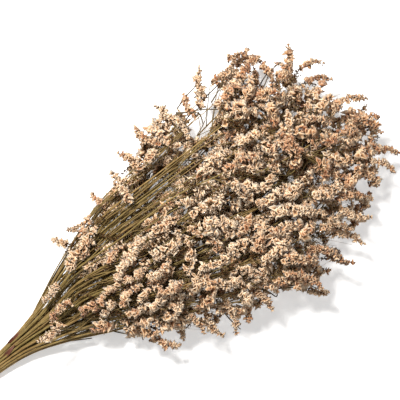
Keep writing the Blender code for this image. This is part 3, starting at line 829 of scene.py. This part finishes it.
# Thin bare twigs that the photograph shows against the ground: height in the room, then pixels
STRAY_TWIGS = (
    (0.55, (176, 114), (190, 112), (206, 110), (231, 111)),
    (0.6, (177, 110), (186, 98), (197, 86)),
    (0.5, (182, 126), (190, 115), (200, 107), (204, 99)),
    (0.62, (198, 113), (201, 118), (203, 125)),
    (0.5, (201, 101), (211, 92), (219, 84)),
    (0.66, (211, 104), (219, 91), (224, 79)),
    (0.5, (212, 104), (222, 109), (234, 110)),
    (0.6, (170, 118), (184, 114), (199, 114)),
    (0.5, (252, 96), (258, 88), (267, 74), (281, 62)),
    (0.6, (256, 98), (264, 86), (270, 70)),
    (0.45, (272, 289), (290, 288), (309, 286), (319, 289)),
    (0.5, (288, 286), (300, 284), (312, 283), (322, 272)),
    (0.4, (262, 290), (270, 293), (277, 297), (278, 283)),
    (0.35, (105, 333), (120, 336), (137, 338), (160, 333)),
    (0.3, (133, 326), (138, 334), (142, 343)),
    (0.3, (139, 335), (147, 339), (158, 343)),
    (0.25, (62, 346), (76, 344), (89, 342)),
    (0.3, (66, 342), (93, 331), (126, 326), (150, 324)),
    (0.3, (225, 315), (232, 323), (241, 331)),
)
STRAY_RISE = 5

# Dry leaves near the cut ends: the number of the spray that carries it, base, tip, half width, lift
LEAVES = (
    (33, (-196, 26, 17), (-168, 31, 24), 3.6, 2.5),
    (8, (-206, 19, 21), (-186, 23, 27), 2.4, 2.0),
)
LEAF_ROWS = 14
LEAF_COLUMNS = 5
LEAF_THICK = 0.3

# Where the spikes are palest, which is painted light, how far that reaches, the height at which it is full,
# and where they turn brown, all in millimetres
PAINTED_LIGHT_MIDDLE = (90, 20)
PAINTED_LIGHT_REACH = (90, 60)
PAINTED_LIGHT_HEIGHT = 100
BROWN_FROM = 120
BROWN_OVER = 160

CAMERA_LENS = 120
CAMERA_SENSOR = 36
CAMERA_LEVEL = 62
FLOOR_HALF = 4
WORLD_STRENGTH = 0.3

# Lamps: the way to it (right, up and above in the picture), its distance and size in metres,
# its power and its colour
LAMPS = {
    "key": ((-0.3, 0.42, 1.2), 1.2, 0.22, 40, (1, 0.985, 0.96)),
    "fill": ((0.9, -0.6, 0.9), 1.3, 1.4, 4, (1, 0.99, 0.98)),
}


def on_curve(path, count):
    """Points evenly spaced on a smooth curve through a path's points."""
    path = np.asarray(path, float)
    steps = np.maximum(steps_of(path), 1e-6)
    at = np.concatenate([[0], np.cumsum(steps)])
    slopes = np.empty_like(path)
    slopes[1:-1] = (path[2:] - path[:-2]) / (at[2:] - at[:-2])[:, None]
    slopes[0] = (path[1] - path[0]) / steps[0]
    slopes[-1] = (path[-1] - path[-2]) / steps[-1]
    want = np.linspace(0, at[-1], count)
    k = np.clip(np.searchsorted(at, want, side="right") - 1, 0, len(steps) - 1)
    t = ((want - at[k]) / steps[k])[:, None]
    h = steps[k][:, None]
    return (
        (1 + 2 * t) * (1 - t) ** 2 * path[k] + t * (1 - t) ** 2 * h * slopes[k]
        + t * t * (3 - 2 * t) * path[k + 1] + t * t * (t - 1) * h * slopes[k + 1]
    )


def on_stem(path):
    return on_curve(path, max(8, round(path_length(path) / STEM_STEP)))


def directions_of(path):
    steps = np.gradient(path, axis=0)
    return steps / np.maximum(np.linalg.norm(steps, axis=1), 1e-9)[:, None]


def new_object(name, data):
    made = bpy.data.objects.new(name, data)
    bpy.context.scene.collection.objects.link(made)
    return made


class Piece:
    """Triangles of one piece, with what its materials read at each corner."""

    def __init__(self):
        self.points = []
        self.faces = []
        self.slots = []
        self.shape = []  # where on its own little form a corner is
        # The look's second value, a spike's tone, is partly painted light.
        self.look = []  # what is its own for a whole stalk or floret
        self.count = 0

    def add(self, points, faces, slot, shape, look):
        """Copies of one form: points (copies, corners, 3), its faces, and the two kinds of values."""
        copies, corners = points.shape[:2]
        first = self.count + corners * np.arange(copies)[:, None, None]
        self.points.append(points.reshape(-1, 3))
        self.faces.append((faces[None] + first).reshape(-1, 3))
        self.slots.append(np.full(copies * len(faces), slot))
        self.shape.append(np.broadcast_to(shape, points.shape).reshape(-1, 3))
        self.look.append(np.broadcast_to(look[:, None], points.shape).reshape(-1, 3))
        self.count += copies * corners

    def add_one(self, points, faces, slot, shape, look):
        self.add(np.array([points]), np.array(faces), slot, np.array([shape]), np.array([look], float))

    def as_object(self, name, materials):
        points = np.concatenate(self.points)
        faces = np.concatenate(self.faces)
        points[:, 2] = np.maximum(points[:, 2], GROUND_GAP)
        mesh = bpy.data.meshes.new(name)
        mesh.vertices.add(len(points))
        mesh.vertices.foreach_set("co", (points * METRE).ravel())
        mesh.loops.add(faces.size)
        mesh.loops.foreach_set("vertex_index", faces.ravel())
        mesh.polygons.add(len(faces))
        mesh.polygons.foreach_set("loop_start", np.arange(len(faces)) * 3)
        mesh.polygons.foreach_set("material_index", np.concatenate(self.slots))
        for key, values in (("shape", self.shape), ("look", self.look)):
            made = mesh.attributes.new(key, "FLOAT_VECTOR", "POINT")
            made.data.foreach_set("vector", np.concatenate(values).ravel())
        mesh.update(calc_edges=True)
        mesh.shade_smooth()
        for material in materials:
            mesh.materials.append(material)
        return new_object(name, mesh)


def grid_faces(rows, columns, closed):
    """Two triangles for each square of a grid of corners, whose rows may be closed rings."""
    faces = []
    for k in range(rows - 1):
        for s in range(columns if closed else columns - 1):
            a, b = k * columns + s, k * columns + (s + 1) % columns
            faces += [(a, b, b + columns), (a, b + columns, a + columns)]
    return faces


def add_tube(piece, path, tube, own, swell=1):
    """A closed round stalk along a path."""
    root_radius, tip_radius, sides, grey = tube
    count = len(path)
    radii = np.linspace(root_radius, tip_radius, count) * swell
    along = directions_of(path)
    side = square_to((0.2, 0.5, 1), along[0])
    angles = np.arange(sides)[:, None] * 2 * math.pi / sides
    points = np.empty((count, sides, 3))
    shape = np.empty((count, sides, 3))
    length = np.concatenate([[0], np.cumsum(steps_of(path))])
    for k in range(count):
        side = square_to(side, along[k])
        ring = np.cos(angles) * side + np.sin(angles) * np.cross(along[k], side)
        points[k] = path[k] + radii[k] * ring
        shape[k] = np.hstack([np.cos(angles), np.sin(angles), np.full((sides, 1), length[k])])
    root = path[:1] - 0.3 * radii[0] * along[:1]
    tip = path[-1:] + radii[-1] * along[-1:]
    points = np.concatenate([points.reshape(-1, 3), root, tip])
    shape = np.concatenate([shape.reshape(-1, 3), [[0, 0, 0], [0, 0, length[-1]]]])
    faces = grid_faces(count, sides, True)
    end = count * sides
    for s in range(sides):
        after = (s + 1) % sides
        faces += [(after, s, end), (end - sides + s, end - sides + after, end + 1)]
    piece.add_one(points, faces, STALK, shape, (own, 0, grey))


def floret_form(rng, kind, plain):
    """A crumpled papery funnel: corners with z along the floret, faces, and shape values.

    A plain one, for spikes that others hide, has no neck and no separate throat."""
    sides = FLORET_SIDES
    angles = np.arange(sides) * 2 * math.pi / sides
    lobe = np.cos(angles * 5)
    squash = 1 + FLATNESS[kind] * np.cos(2 * angles + rng.uniform(0, 6))
    rough = rng.normal(0, CRUMPLE[kind], (3, sides))
    rim_radius = FLORET_RIM * OPENNESS[kind] * (1 + 0.16 * lobe + rough[0]) * squash
    rim_height = FLORET_LENGTH * (0.96 + 0.06 * lobe + 0.6 * rough[1])
    rings = [  # radius, height, how far from the middle and whether inside
        (0.2 * rim_radius + 0.3, np.full(sides, 0.5 * FLORET_LENGTH), 0.42, 0.0),
        (rim_radius, rim_height, 1.0, 0.0),
        (0.55 * rim_radius * (1 + 0.3 * rough[2]), np.full(sides, 0.68 * FLORET_LENGTH), 0.6, 1.0),
    ]
    if plain:
        rings = rings[1:2]
    points = [(0, 0, 0)]
    shape = [(0, 0, 0)]
    for radius, height, reach, inside in rings:
        for k in range(sides):
            c, s = math.cos(angles[k]), math.sin(angles[k])
            points.append((radius[k] * c, radius[k] * s, height[k]))
            shape.append((reach * c, reach * s, inside))
    points.append((0, 0, (0.55 if plain else 0.45) * FLORET_LENGTH))
    shape.append((0, 0, 1))
    faces = []
    for k in range(sides):
        a, b = 1 + k, 1 + (k + 1) % sides
        faces.append((0, b, a))
        for _ in rings[1:]:
            faces += [(a, b, b + sides), (a, b + sides, a + sides)]
            a, b = a + sides, b + sides
        faces.append((a, b, len(points) - 1))
    return np.array(points, float), np.array(faces), np.array(shape, float)


def bract_form():
    """A pointed, folded scale: corners with z towards its tip and y outwards."""
    half, length = BRACT_WIDTH / 2, BRACT_LENGTH
    points = [
        (0, 0, 0), (-half, 0.35, 0.5 * length), (half, 0.35, 0.5 * length),
        (0, 1.1, length), (0, 1.0, 0.4 * length),
    ]
    faces = [(0, 4, 1), (1, 4, 3), (3, 4, 2), (2, 4, 0), (0, 1, 2), (1, 3, 2)]
    shape = [(0, 0, 0), (-1, 0, 0.5), (1, 0, 0.5), (0, 0, 1), (0, 0, 0.4)]
    return np.array(points, float), np.array(faces), np.array(shape, float)


def turned_copies(form, places, towards, facing, sizes):
    """Copies of a form at places, its z towards one way and its y as near facing as it can be."""
    z = towards / np.linalg.norm(towards, axis=1)[:, None]
    y = facing - (facing * z).sum(1)[:, None] * z
    y /= np.maximum(np.linalg.norm(y, axis=1), 1e-9)[:, None]
    x = np.cross(y, z)
    axes = np.stack([x, y, z], axis=1) * sizes[:, None, None]
    return places[:, None] + np.einsum("vk,nkj->nvj", form, axes)


class Flowers:
    """Every floret and bract of one piece, gathered before their forms are copied."""

    def __init__(self, rng):
        self.rng = rng
        self.rows = []  # kind, place, way, facing, size, and the three values of its look

    def dress(self, twig, tone, plain):
        """Florets and bracts along a spike, and on most spikes short branches with a few florets each."""
        rng = self.rng
        self.tone, self.plain = tone, plain
        spacing = FLORET_STEP * (1.1 if plain else 0.86 if twig.drawn else 1)
        steps = max(4, round(path_length(twig.spike) / spacing))
        path = on_curve(twig.spike, steps + 1)
        along = directions_of(path)
        share = np.linspace(0, 1, steps + 1)
        faces = read_between(share, np.linspace(0, 1, len(twig.faces)), twig.faces)
        full = rng.uniform(0.86, 1.16) * (0.84 if twig.drawn else 1)
        branched = 0.0 if twig.drawn else rng.uniform(0.2, 1)
        clump = rng.uniform(0, 6)
        ranks = DRAWN_RANKS if twig.drawn else RANKS
        for k, t in enumerate(share):
            out = square_to(faces[k], along[k])
            aside = np.cross(along[k], out)
            swell = 1 + 0.14 * math.sin(k * 1.7 + clump)
            lean = (1.0 if twig.drawn else 0.6) + 0.9 * max(0, t - 0.75) / 0.25
            for rank in TIP_RANKS if t > TIP_FROM else ranks[k % 2]:
                way = swung(math.radians(rank + rng.normal(0, 15)), out, aside)
                way = way + (lean + rng.normal(0, 0.34)) * along[k] + rng.normal(0, 0.16, 3)
                size = full * swell * rng.uniform(0.62, 1.18) * (1 - 0.3 * max(0, t - 0.6) / 0.4)
                base = path[k] + rng.normal(0, 0.3, 3) + 0.25 * out
                with_bract = twig.bare
                if not twig.bare and rng.random() > MISSING_FLORETS:
                    self.add_floret(base, way, size, t > YOUNG_FROM)
                    with_bract = rng.random() < (0.3 if plain else 0.6)
                if with_bract:
                    self.add_bract(base, way + 0.35 * along[k], rng.normal(0, 0.4, 3) - way)
            for _ in range(1 if plain else 2):
                way = swung(math.radians(180 + rng.uniform(-80, 80)), out, aside)
                self.add_bract(path[k], way * 0.8 + along[k], way)
            if not twig.bare and t < 0.85 and rng.random() < branched * 0.62:
                turn = math.radians(rng.choice((-1, 1)) * rng.uniform(15, 95))
                self.branch(path[k], unit(swung(turn, out, aside) + rng.uniform(0.3, 0.9) * along[k]), full)

    def branch(self, root, way, full):
        """A short side branch that ends in a tuft of florets."""
        rng = self.rng
        length = rng.uniform(2.5, 5.5)
        self.add_bract(root, way, rng.normal(0, 1, 3))
        across = square_to(rng.normal(0, 1, 3), way)
        for k in range(int(rng.integers(2, 5))):
            spread = way + rng.uniform(-0.8, 0.8) * across + rng.normal(0, 0.25, 3)
            base = root + way * length * (0.35 + 0.22 * k)
            self.add_floret(base, spread, full * rng.uniform(0.75, 1.15), False)
            self.add_bract(base, spread, rng.normal(0, 1, 3))

    def add_floret(self, base, way, size, young):
        rng = self.rng
        kind = int(rng.integers(2, FLORET_KINDS)) if young else int(rng.integers(FLORET_KINDS - 2))
        look = (rng.random(), self.tone, 0)
        self.rows.append((kind + FLORET_KINDS * self.plain, *base, *way, *rng.normal(0, 1, 3), size, *look))

    def add_bract(self, base, way, facing):
        size = self.rng.uniform(0.8, 1.3)
        self.rows.append((BRACT_KIND, *base, *way, *facing, size, self.rng.random(), self.tone, 0))

    def add_to(self, piece, forms):
        rows = np.array(self.rows)
        for kind, (points, faces, shape) in enumerate(forms):
            own = rows[rows[:, 0] == kind]
            if len(own):
                copies = turned_copies(points, own[:, 1:4], own[:, 4:7], own[:, 7:10], own[:, 10])
                piece.add(copies, faces, BRACT if kind == BRACT_KIND else FLORET, shape[None], own[:, 11:14])


def srgb(*values):
    """A linear colour from sRGB values of 0 to 255."""
    return tuple((v / 255 / 12.92 if v <= 10 else ((v / 255 + 0.055) / 1.055) ** 2.4) for v in values) + (1,)


def linear(*values):
    return values + (1,)


class Nodes:
    """A material and short ways to add nodes to it. Colours are sRGB values of 0 to 255."""

    def __init__(self, name):
        self.material = bpy.data.materials.new(name)
        self.material.use_nodes = True
        self.tree = self.material.node_tree
        self.shader = self.tree.nodes["Principled BSDF"]

    def put(self, socket, value):
        if isinstance(value, bpy.types.NodeSocket):
            self.tree.links.new(value, socket)
        else:
            socket.default_value = value

    def node(self, kind, inputs, **settings):
        made = self.tree.nodes.new(kind)
        for key, value in settings.items():
            setattr(made, key, value)
        for socket, value in dict(inputs).items():
            self.put(made.inputs[socket], value)
        return made

    def read(self, name):
        return self.node("ShaderNodeAttribute", (), attribute_name=name).outputs["Vector"]

    def parts(self, name):
        return self.node("ShaderNodeSeparateXYZ", {0: self.read(name)}).outputs

    def math(self, operation, *values, clamp=False):
        return self.node("ShaderNodeMath", enumerate(values), operation=operation, use_clamp=clamp).outputs[0]

    def times(self, a, b):
        return self.math("MULTIPLY", a, b)

    def noise(self, vector, scale, detail=3.0):
        inputs = {"Vector": vector, "Scale": scale, "Detail": detail, "Roughness": 0.6}
        return self.node("ShaderNodeTexNoise", inputs).outputs["Fac"]

    def grain(self, scale, detail=3.0):
        """Noise in the object's own metres."""
        return self.noise(self.node("ShaderNodeTexCoord", ()).outputs["Object"], scale, detail)

    def stretched(self, scales):
        """Where on its own little form a point is, for noise that runs along it."""
        inputs = {0: self.read("shape"), 1: scales}
        return self.node("ShaderNodeVectorMath", inputs, operation="MULTIPLY").outputs[0]

    def ramp(self, value, *stops, color_of=srgb):
        """Each stop is its place and its colour."""
        made = self.node("ShaderNodeValToRGB", {"Fac": value})
        ramp = made.color_ramp
        while len(ramp.elements) < len(stops):
            ramp.elements.new(0.5)
        for element, (place, *color) in zip(ramp.elements, stops):
            element.position = place
            element.color = color_of(*color)
        return made.outputs["Color"]

    def mix(self, share, a, b, blend="MIX"):
        inputs = {0: share, 6: a, 7: b}
        return self.node("ShaderNodeMix", inputs, data_type="RGBA", blend_type=blend).outputs[2]

    def tint(self, color, where, strength, *tint):
        """Mixes in a colour, as far as a value and this strength say."""
        return self.mix(self.times(where, strength), color, srgb(*tint))

    def finish(self, color, roughness, bump=None, **constants):
        """Fills the shader. A bump is a height, a strength and a distance in metres."""
        self.put(self.shader.inputs["Base Color"], color)
        self.put(self.shader.inputs["Roughness"], roughness)
        if bump:
            height, strength, distance = bump
            inputs = {"Height": height, "Strength": strength, "Distance": distance}
            self.put(self.shader.inputs["Normal"], self.node("ShaderNodeBump", inputs).outputs[0])
        for name, value in constants.items():
            self.shader.inputs[name.replace("_", " ")].default_value = value
        return self.material


def stalk_material():
    """Dried stalks: straw to olive brown, in fine streaks along them."""
    n = Nodes("dried_stalk")
    own, _, grey = n.parts("look")
    streaks = n.noise(n.stretched((1.6, 1.6, 0.05)), 2.2, 4.0)
    straw = n.ramp(streaks, (0.25, 84, 62, 28), (0.5, 150, 122, 72), (0.72, 214, 184, 128))
    olive = n.ramp(streaks, (0.25, 62, 54, 24), (0.5, 120, 108, 58), (0.72, 178, 164, 104))
    color = n.mix(n.times(own, 0.75), straw, olive)
    color = n.tint(color, n.grain(46.0, 2.0), 0.55, 96, 66, 32)
    color = n.tint(color, grey, 0.6, 80, 68, 46)
    rough = n.math("MULTIPLY_ADD", streaks, -0.25, 0.72)
    return n.finish(color, rough, (streaks, 0.5, 0.0003), Specular_IOR_Level=0.25)


def floret_material():
    """Papery calyces: pale ribbed rim, and brown base and throat that darken to near black as painted shade,
    each a little its own colour and paler where the spike's tone carries painted light.
    """
    n = Nodes("papery_floret")
    x, y, inside = n.parts("shape")
    own, tone, _ = n.parts("look")
    reach = n.math("SQRT", n.math("ADD", n.times(x, x), n.times(y, y)))
    ribs = n.math("ABSOLUTE", n.math("SINE", n.times(n.math("ARCTAN2", y, x), 2.5)))
    # Near the middle both ramps darken to near black, which is painted shade: outside where the floret meets
    # the spike, inside deep in the throat. Further out they are the calyx's own brown and cream.
    outer = n.ramp(
        reach, (0.0, 44, 25, 11), (0.3, 98, 64, 36), (0.52, 184, 148, 112), (0.78, 232, 206, 176),
        (1.0, 255, 246, 230))
    inner = n.ramp(
        reach, (0.0, 24, 12, 5), (0.35, 78, 50, 28), (0.6, 198, 166, 130), (1.0, 255, 250, 238))
    color = n.mix(inside, outer, inner)
    color = n.tint(color, n.math("LESS_THAN", ribs, 0.22), 0.35, 128, 84, 52)
    mottle = n.grain(900.0, 2.0)
    color = n.tint(color, mottle, 0.3, 196, 160, 128)
    # The tone is partly painted light: spikes higher up towards the upper middle are paler. The floret's own
    # share and the rest of the tone are its age and colour.
    aged_and_painted_light = n.ramp(
        n.math("ADD", n.times(own, 0.6), n.times(tone, 0.4)), (0.0, 255, 255, 252), (0.35, 255, 249, 238),
        (0.6, 244, 226, 204), (0.8, 220, 182, 152), (1.0, 162, 120, 92))
    color = n.mix(1.0, color, aged_and_painted_light, "MULTIPLY")
    # Paler rims, the more so the paler the spike's tone, which is partly painted light.
    rim = n.math("SUBTRACT", reach, 0.68, clamp=True)
    color = n.tint(color, rim, n.math("SUBTRACT", 2.1, n.times(tone, 1.7)), 254, 236, 212)
    height = n.math("ADD", n.times(ribs, 0.5), n.times(mottle, 0.5))
    return n.finish(
        color, 0.78, (height, 0.35, 0.0002), Sheen_Weight=0.15, Sheen_Roughness=0.5,
        Specular_IOR_Level=0.2)


def bract_material():
    """Brown scales below the florets, darkened to near black towards their base as painted shade where they
    meet the spike.
    """
    n = Nodes("brown_bract")
    # Near black at the base, where the scale meets the spike, is painted shade; towards the tip it is the
    # scale's own brown.
    color = n.ramp(n.parts("shape")[2], (0.0, 26, 13, 4), (0.6, 62, 36, 16), (1.0, 124, 84, 50))
    color = n.tint(color, n.parts("look")[0], 0.5, 70, 48, 28)
    grain = n.grain(700.0, 2.0)
    color = n.tint(color, grain, 0.3, 112, 78, 44)
    return n.finish(color, 0.8, (grain, 0.3, 0.0002), Specular_IOR_Level=0.15)


def leaf_material():
    """A dry leaf, red-brown with fine lines along it."""
    n = Nodes("dry_leaf")
    lines = n.noise(n.stretched((9.0, 0.8, 1.0)), 2.0)
    color = n.ramp(lines, (0.25, 58, 26, 16), (0.55, 104, 56, 38), (0.8, 160, 112, 84))
    color = n.tint(color, n.grain(260.0), 0.4, 84, 48, 30)
    return n.finish(color, 0.6, (lines, 0.5, 0.0003))


def band_material():
    n = Nodes("natural_rubber")
    grain = n.grain(420.0)
    color = n.ramp(grain, (0.3, 150, 108, 62), (0.7, 196, 152, 98))
    return n.finish(color, 0.55, (grain, 0.25, 0.0003))


def floor_material():
    n = Nodes("pale_floor")
    color = n.ramp(n.grain(30.0), (0.2, 0.91, 0.91, 0.91), (0.8, 0.94, 0.94, 0.94), color_of=linear)
    # The floor glows a little, which is painted light: it lightens the shadows cast on it and lights the
    # bunch from below.
    return n.finish(color, 0.9, Emission_Color=(1, 1, 1, 1), Emission_Strength=0.36)


def set_stage():
    """The floor, the lights and the camera, which looks straight down as the photograph does."""
    half = FLOOR_HALF
    mesh = bpy.data.meshes.new("floor")
    corners = [(-half, -half, 0), (half, -half, 0), (half, half, 0), (-half, half, 0)]
    mesh.from_pydata(corners, [], [(0, 1, 2, 3)])
    mesh.materials.append(floor_material())
    floor = new_object("floor", mesh)
    right = np.array([math.cos(PHOTO_TURN), -math.sin(PHOTO_TURN), 0])
    up = np.array([math.sin(PHOTO_TURN), math.cos(PHOTO_TURN), 0])
    above = np.array([0, 0, 1.0])
    middle = np.array([*photo_point(PHOTO_SIDE / 2, PHOTO_SIDE / 2), CAMERA_LEVEL]) * METRE
    width = PHOTO_SIDE * PHOTO_MM_PER_PIXEL * METRE
    lens = bpy.data.cameras.new("camera")
    lens.lens = CAMERA_LENS
    lens.sensor_width = CAMERA_SENSOR
    lens.clip_start = 0.05
    camera = new_object("camera", lens)
    camera.matrix_world = Matrix((
        (right[0], up[0], 0, 0), (right[1], up[1], 0, 0), (0, 0, 1, 0), (0, 0, 0, 1),
    ))
    camera.location = middle + above * width * CAMERA_LENS / CAMERA_SENSOR
    bpy.context.scene.camera = camera
    for name, (way, distance, size, power, color) in LAMPS.items():
        lamp = bpy.data.lights.new(name, "AREA")
        lamp.size, lamp.energy, lamp.color = size, power, color
        place = middle + (way[0] * right + way[1] * up + way[2] * above) * distance
        made = new_object(name, lamp)
        made.location = place
        made.rotation_euler = (Vector(middle) - Vector(place)).to_track_quat("-Z", "Y").to_euler()
    world = bpy.data.worlds.new("studio")
    world.use_nodes = True
    background = world.node_tree.nodes["Background"]
    background.inputs["Color"].default_value = (1, 1, 1, 1)
    background.inputs["Strength"].default_value = WORLD_STRENGTH
    bpy.context.scene.world = world
    bpy.context.scene.view_settings.view_transform = "Standard"


def bare_twigs(growth, index, rng):
    """Thin forked ends with no flowers, which fill the inside of the bunch."""
    stem = on_curve(growth.stems[index], 40)
    paths = [stem] + [on_curve(twig.stalk, 12) for twig in growth.twigs[index]]
    made = []
    for _ in range(BARE_TWIGS):
        path = stem if rng.random() < 0.5 else paths[int(rng.integers(len(paths)))]
        first = int(rng.integers(len(path) // 3 if path is stem else 0, len(path) - 1))
        tangent = unit(path[first + 1] - path[first])
        way = turned_from(tangent, math.radians(rng.uniform(14, 50)), rng.uniform(0, 2 * math.pi))
        bow = rng.normal(0, 0.22, 3)
        length = rng.uniform(16, 62)
        t = np.linspace(0, 1, 5)[:, None]
        points = path[first] + length * (t * way + t * t * (bow + 0.25 * tangent))
        if points[:, 2].min() > 1 and is_in_room(points, 0.5):
            made.append((points, rng.random()))
    return made


def stray_twigs(growth):
    """Each thin twig that the photograph shows, with the spray that carries it."""
    made = []
    for level, *pixels in STRAY_TWIGS:
        places = [photo_point(*pixel) for pixel in pixels]
        path = np.array([(*place, height_in_room(place[0], level)) for place in places])
        path[:, 2] += np.linspace(0, STRAY_RISE, len(path))
        made.append((nearest_stem(growth.stems, path[0]), on_curve(path, 6 * len(path))))
    return made


def round_the_tie(along, angles, lift):
    """Points outside the tied stems, at angles round them from straight down."""
    across = columns_at(BUNDLE, TIE_ALONG)[0]
    middle = (BAND_INNER + BAND_THICK) * math.cos(math.pi / BAND_STEPS)
    radius = BAND_INNER + 0.45 * BAND_THICK + lift
    return np.stack([
        TIE_ALONG + along, across + radius * np.sin(angles), middle - radius * np.cos(angles),
    ], axis=1)


def wound_band():
    """The rubber band as one strand that winds round the stems and crosses itself once."""
    piece = Piece()
    turns = np.linspace(0, BAND_TURNS, 40 * BAND_TURNS + 1)
    along = (turns / BAND_TURNS - 0.5) * (BAND_TURNS - 0.7) * BAND_TURN_WIDTH + 0.35 * np.sin(turns * 5.1)
    lift = 0.25 * np.sin(turns * 3.7 + 1) + 0.25
    strand = round_the_tie(along, turns * 2 * math.pi + BAND_START, lift)
    add_tube(piece, strand, STRAND_TUBE, 0.4)
    over = np.linspace(-0.5, 0.5, 14)
    along = over * (BAND_TURNS - 0.4) * BAND_TURN_WIDTH
    crossing = round_the_tie(along, over * 0.9 + BAND_START, BAND_CROSSING_LIFT)
    add_tube(piece, crossing, CROSSING_TUBE, 0.6)
    made = piece.as_object("statice_band", (band_material(),))
    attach(made, "root")
    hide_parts("rubber_band")


def add_leaf(piece, base, tip, width, lift):
    """A dry, folded leaf with two sides."""
    base, tip = np.array(base, float), np.array(tip, float)
    side = np.cross((0, 0, 1), unit(tip - base))
    corners = []
    shape = []
    for k in range(LEAF_ROWS):
        t = k / (LEAF_ROWS - 1)
        half = width * math.sin(math.pi * min(1, 0.12 + 0.88 * t) ** 0.8) ** 0.8 + 0.15
        for c in range(LEAF_COLUMNS):
            s = c / (LEAF_COLUMNS - 1) * 2 - 1
            height = lift * math.sin(math.pi * t) + 0.55 * half * abs(s) - 0.5 * math.sin(7 * t + 2 * s)
            corners.append(base * (1 - t) + tip * t + half * s * side + (0, 0, height))
            shape.append((s, t, 0))
    under = [corner - (0, 0, LEAF_THICK) for corner in corners]
    top = grid_faces(LEAF_ROWS, LEAF_COLUMNS, False)
    bottom = [(len(corners) + a, len(corners) + c, len(corners) + b) for a, b, c in top]
    piece.add_one(corners + under, top + bottom, LEAF, shape + shape, (0.5, 0, 0))


def tone_at(point, rng):
    """How brown a spike is: at random, and browner at the right end; paler towards the camera's upper middle
    and more so higher up, which is painted light.
    """
    x, y, z = point
    beside = ((x - PAINTED_LIGHT_MIDDLE[0]) / PAINTED_LIGHT_REACH[0]) ** 2 + ((y - PAINTED_LIGHT_MIDDLE[1]) / PAINTED_LIGHT_REACH[1]) ** 2
    # Painted light: spikes near the upper middle are paler, the more so the higher they lie.
    pale = math.exp(-beside) * np.clip(z / PAINTED_LIGHT_HEIGHT, 0, 1)
    brown = np.clip((x - BROWN_FROM) / BROWN_OVER, 0, 1)
    return float(np.clip(rng.uniform(0.1, 0.9) - 0.3 * pale + 0.4 * brown, 0, 1))


def dress(growth):
    """One fine piece for each spray."""
    rng = np.random.default_rng(LOOKS_SEED)
    forms = [floret_form(rng, kind, plain) for plain in (False, True) for kind in range(FLORET_KINDS)]
    forms.append(bract_form())
    materials = (stalk_material(), floret_material(), bract_material(), leaf_material())
    strays = stray_twigs(growth)
    for index, stem in enumerate(growth.stems):
        piece = Piece()
        path = on_stem(stem)
        add_tube(piece, path, STEM_TUBE, rng.random(), 1 + STEM_KNOBS * rng.normal(0, 1, len(path)))
        for carrier, fine in growth.fine_stems:
            if carrier == index:
                add_tube(piece, on_stem(fine), FINE_STEM_TUBE, rng.random())
        flowers = Flowers(rng)
        for k, twig in enumerate(growth.twigs[index]):
            path = on_curve(np.vstack([twig.stalk, twig.spike[1:]]), TWIG_STEPS)
            plain = k >= growth.solid_twigs[index]
            add_tube(piece, path, FINE_TWIG_TUBE if plain else TWIG_TUBE, rng.random())
            flowers.dress(twig, tone_at(twig.spike[2], rng), plain)
        for carrier, path in strays:
            if carrier == index:
                add_tube(piece, path, STRAY_TUBE, 0.8)
        for path, own in bare_twigs(growth, index, rng):
            add_tube(piece, path, BARE_TUBE, own)
        flowers.add_to(piece, forms)
        for number, *leaf in LEAVES:
            if number == index + 1:
                add_leaf(piece, *leaf)
        made = piece.as_object(f"statice_spray_{index + 1:02d}", materials)
        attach(made, "root")
        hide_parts(f"spray_{index + 1:02d}")


growth = Growth(np.random.default_rng(SEED))
growth.fill(np.random.default_rng(FINE_SEED))
dress(growth)
wound_band()
set_stage()
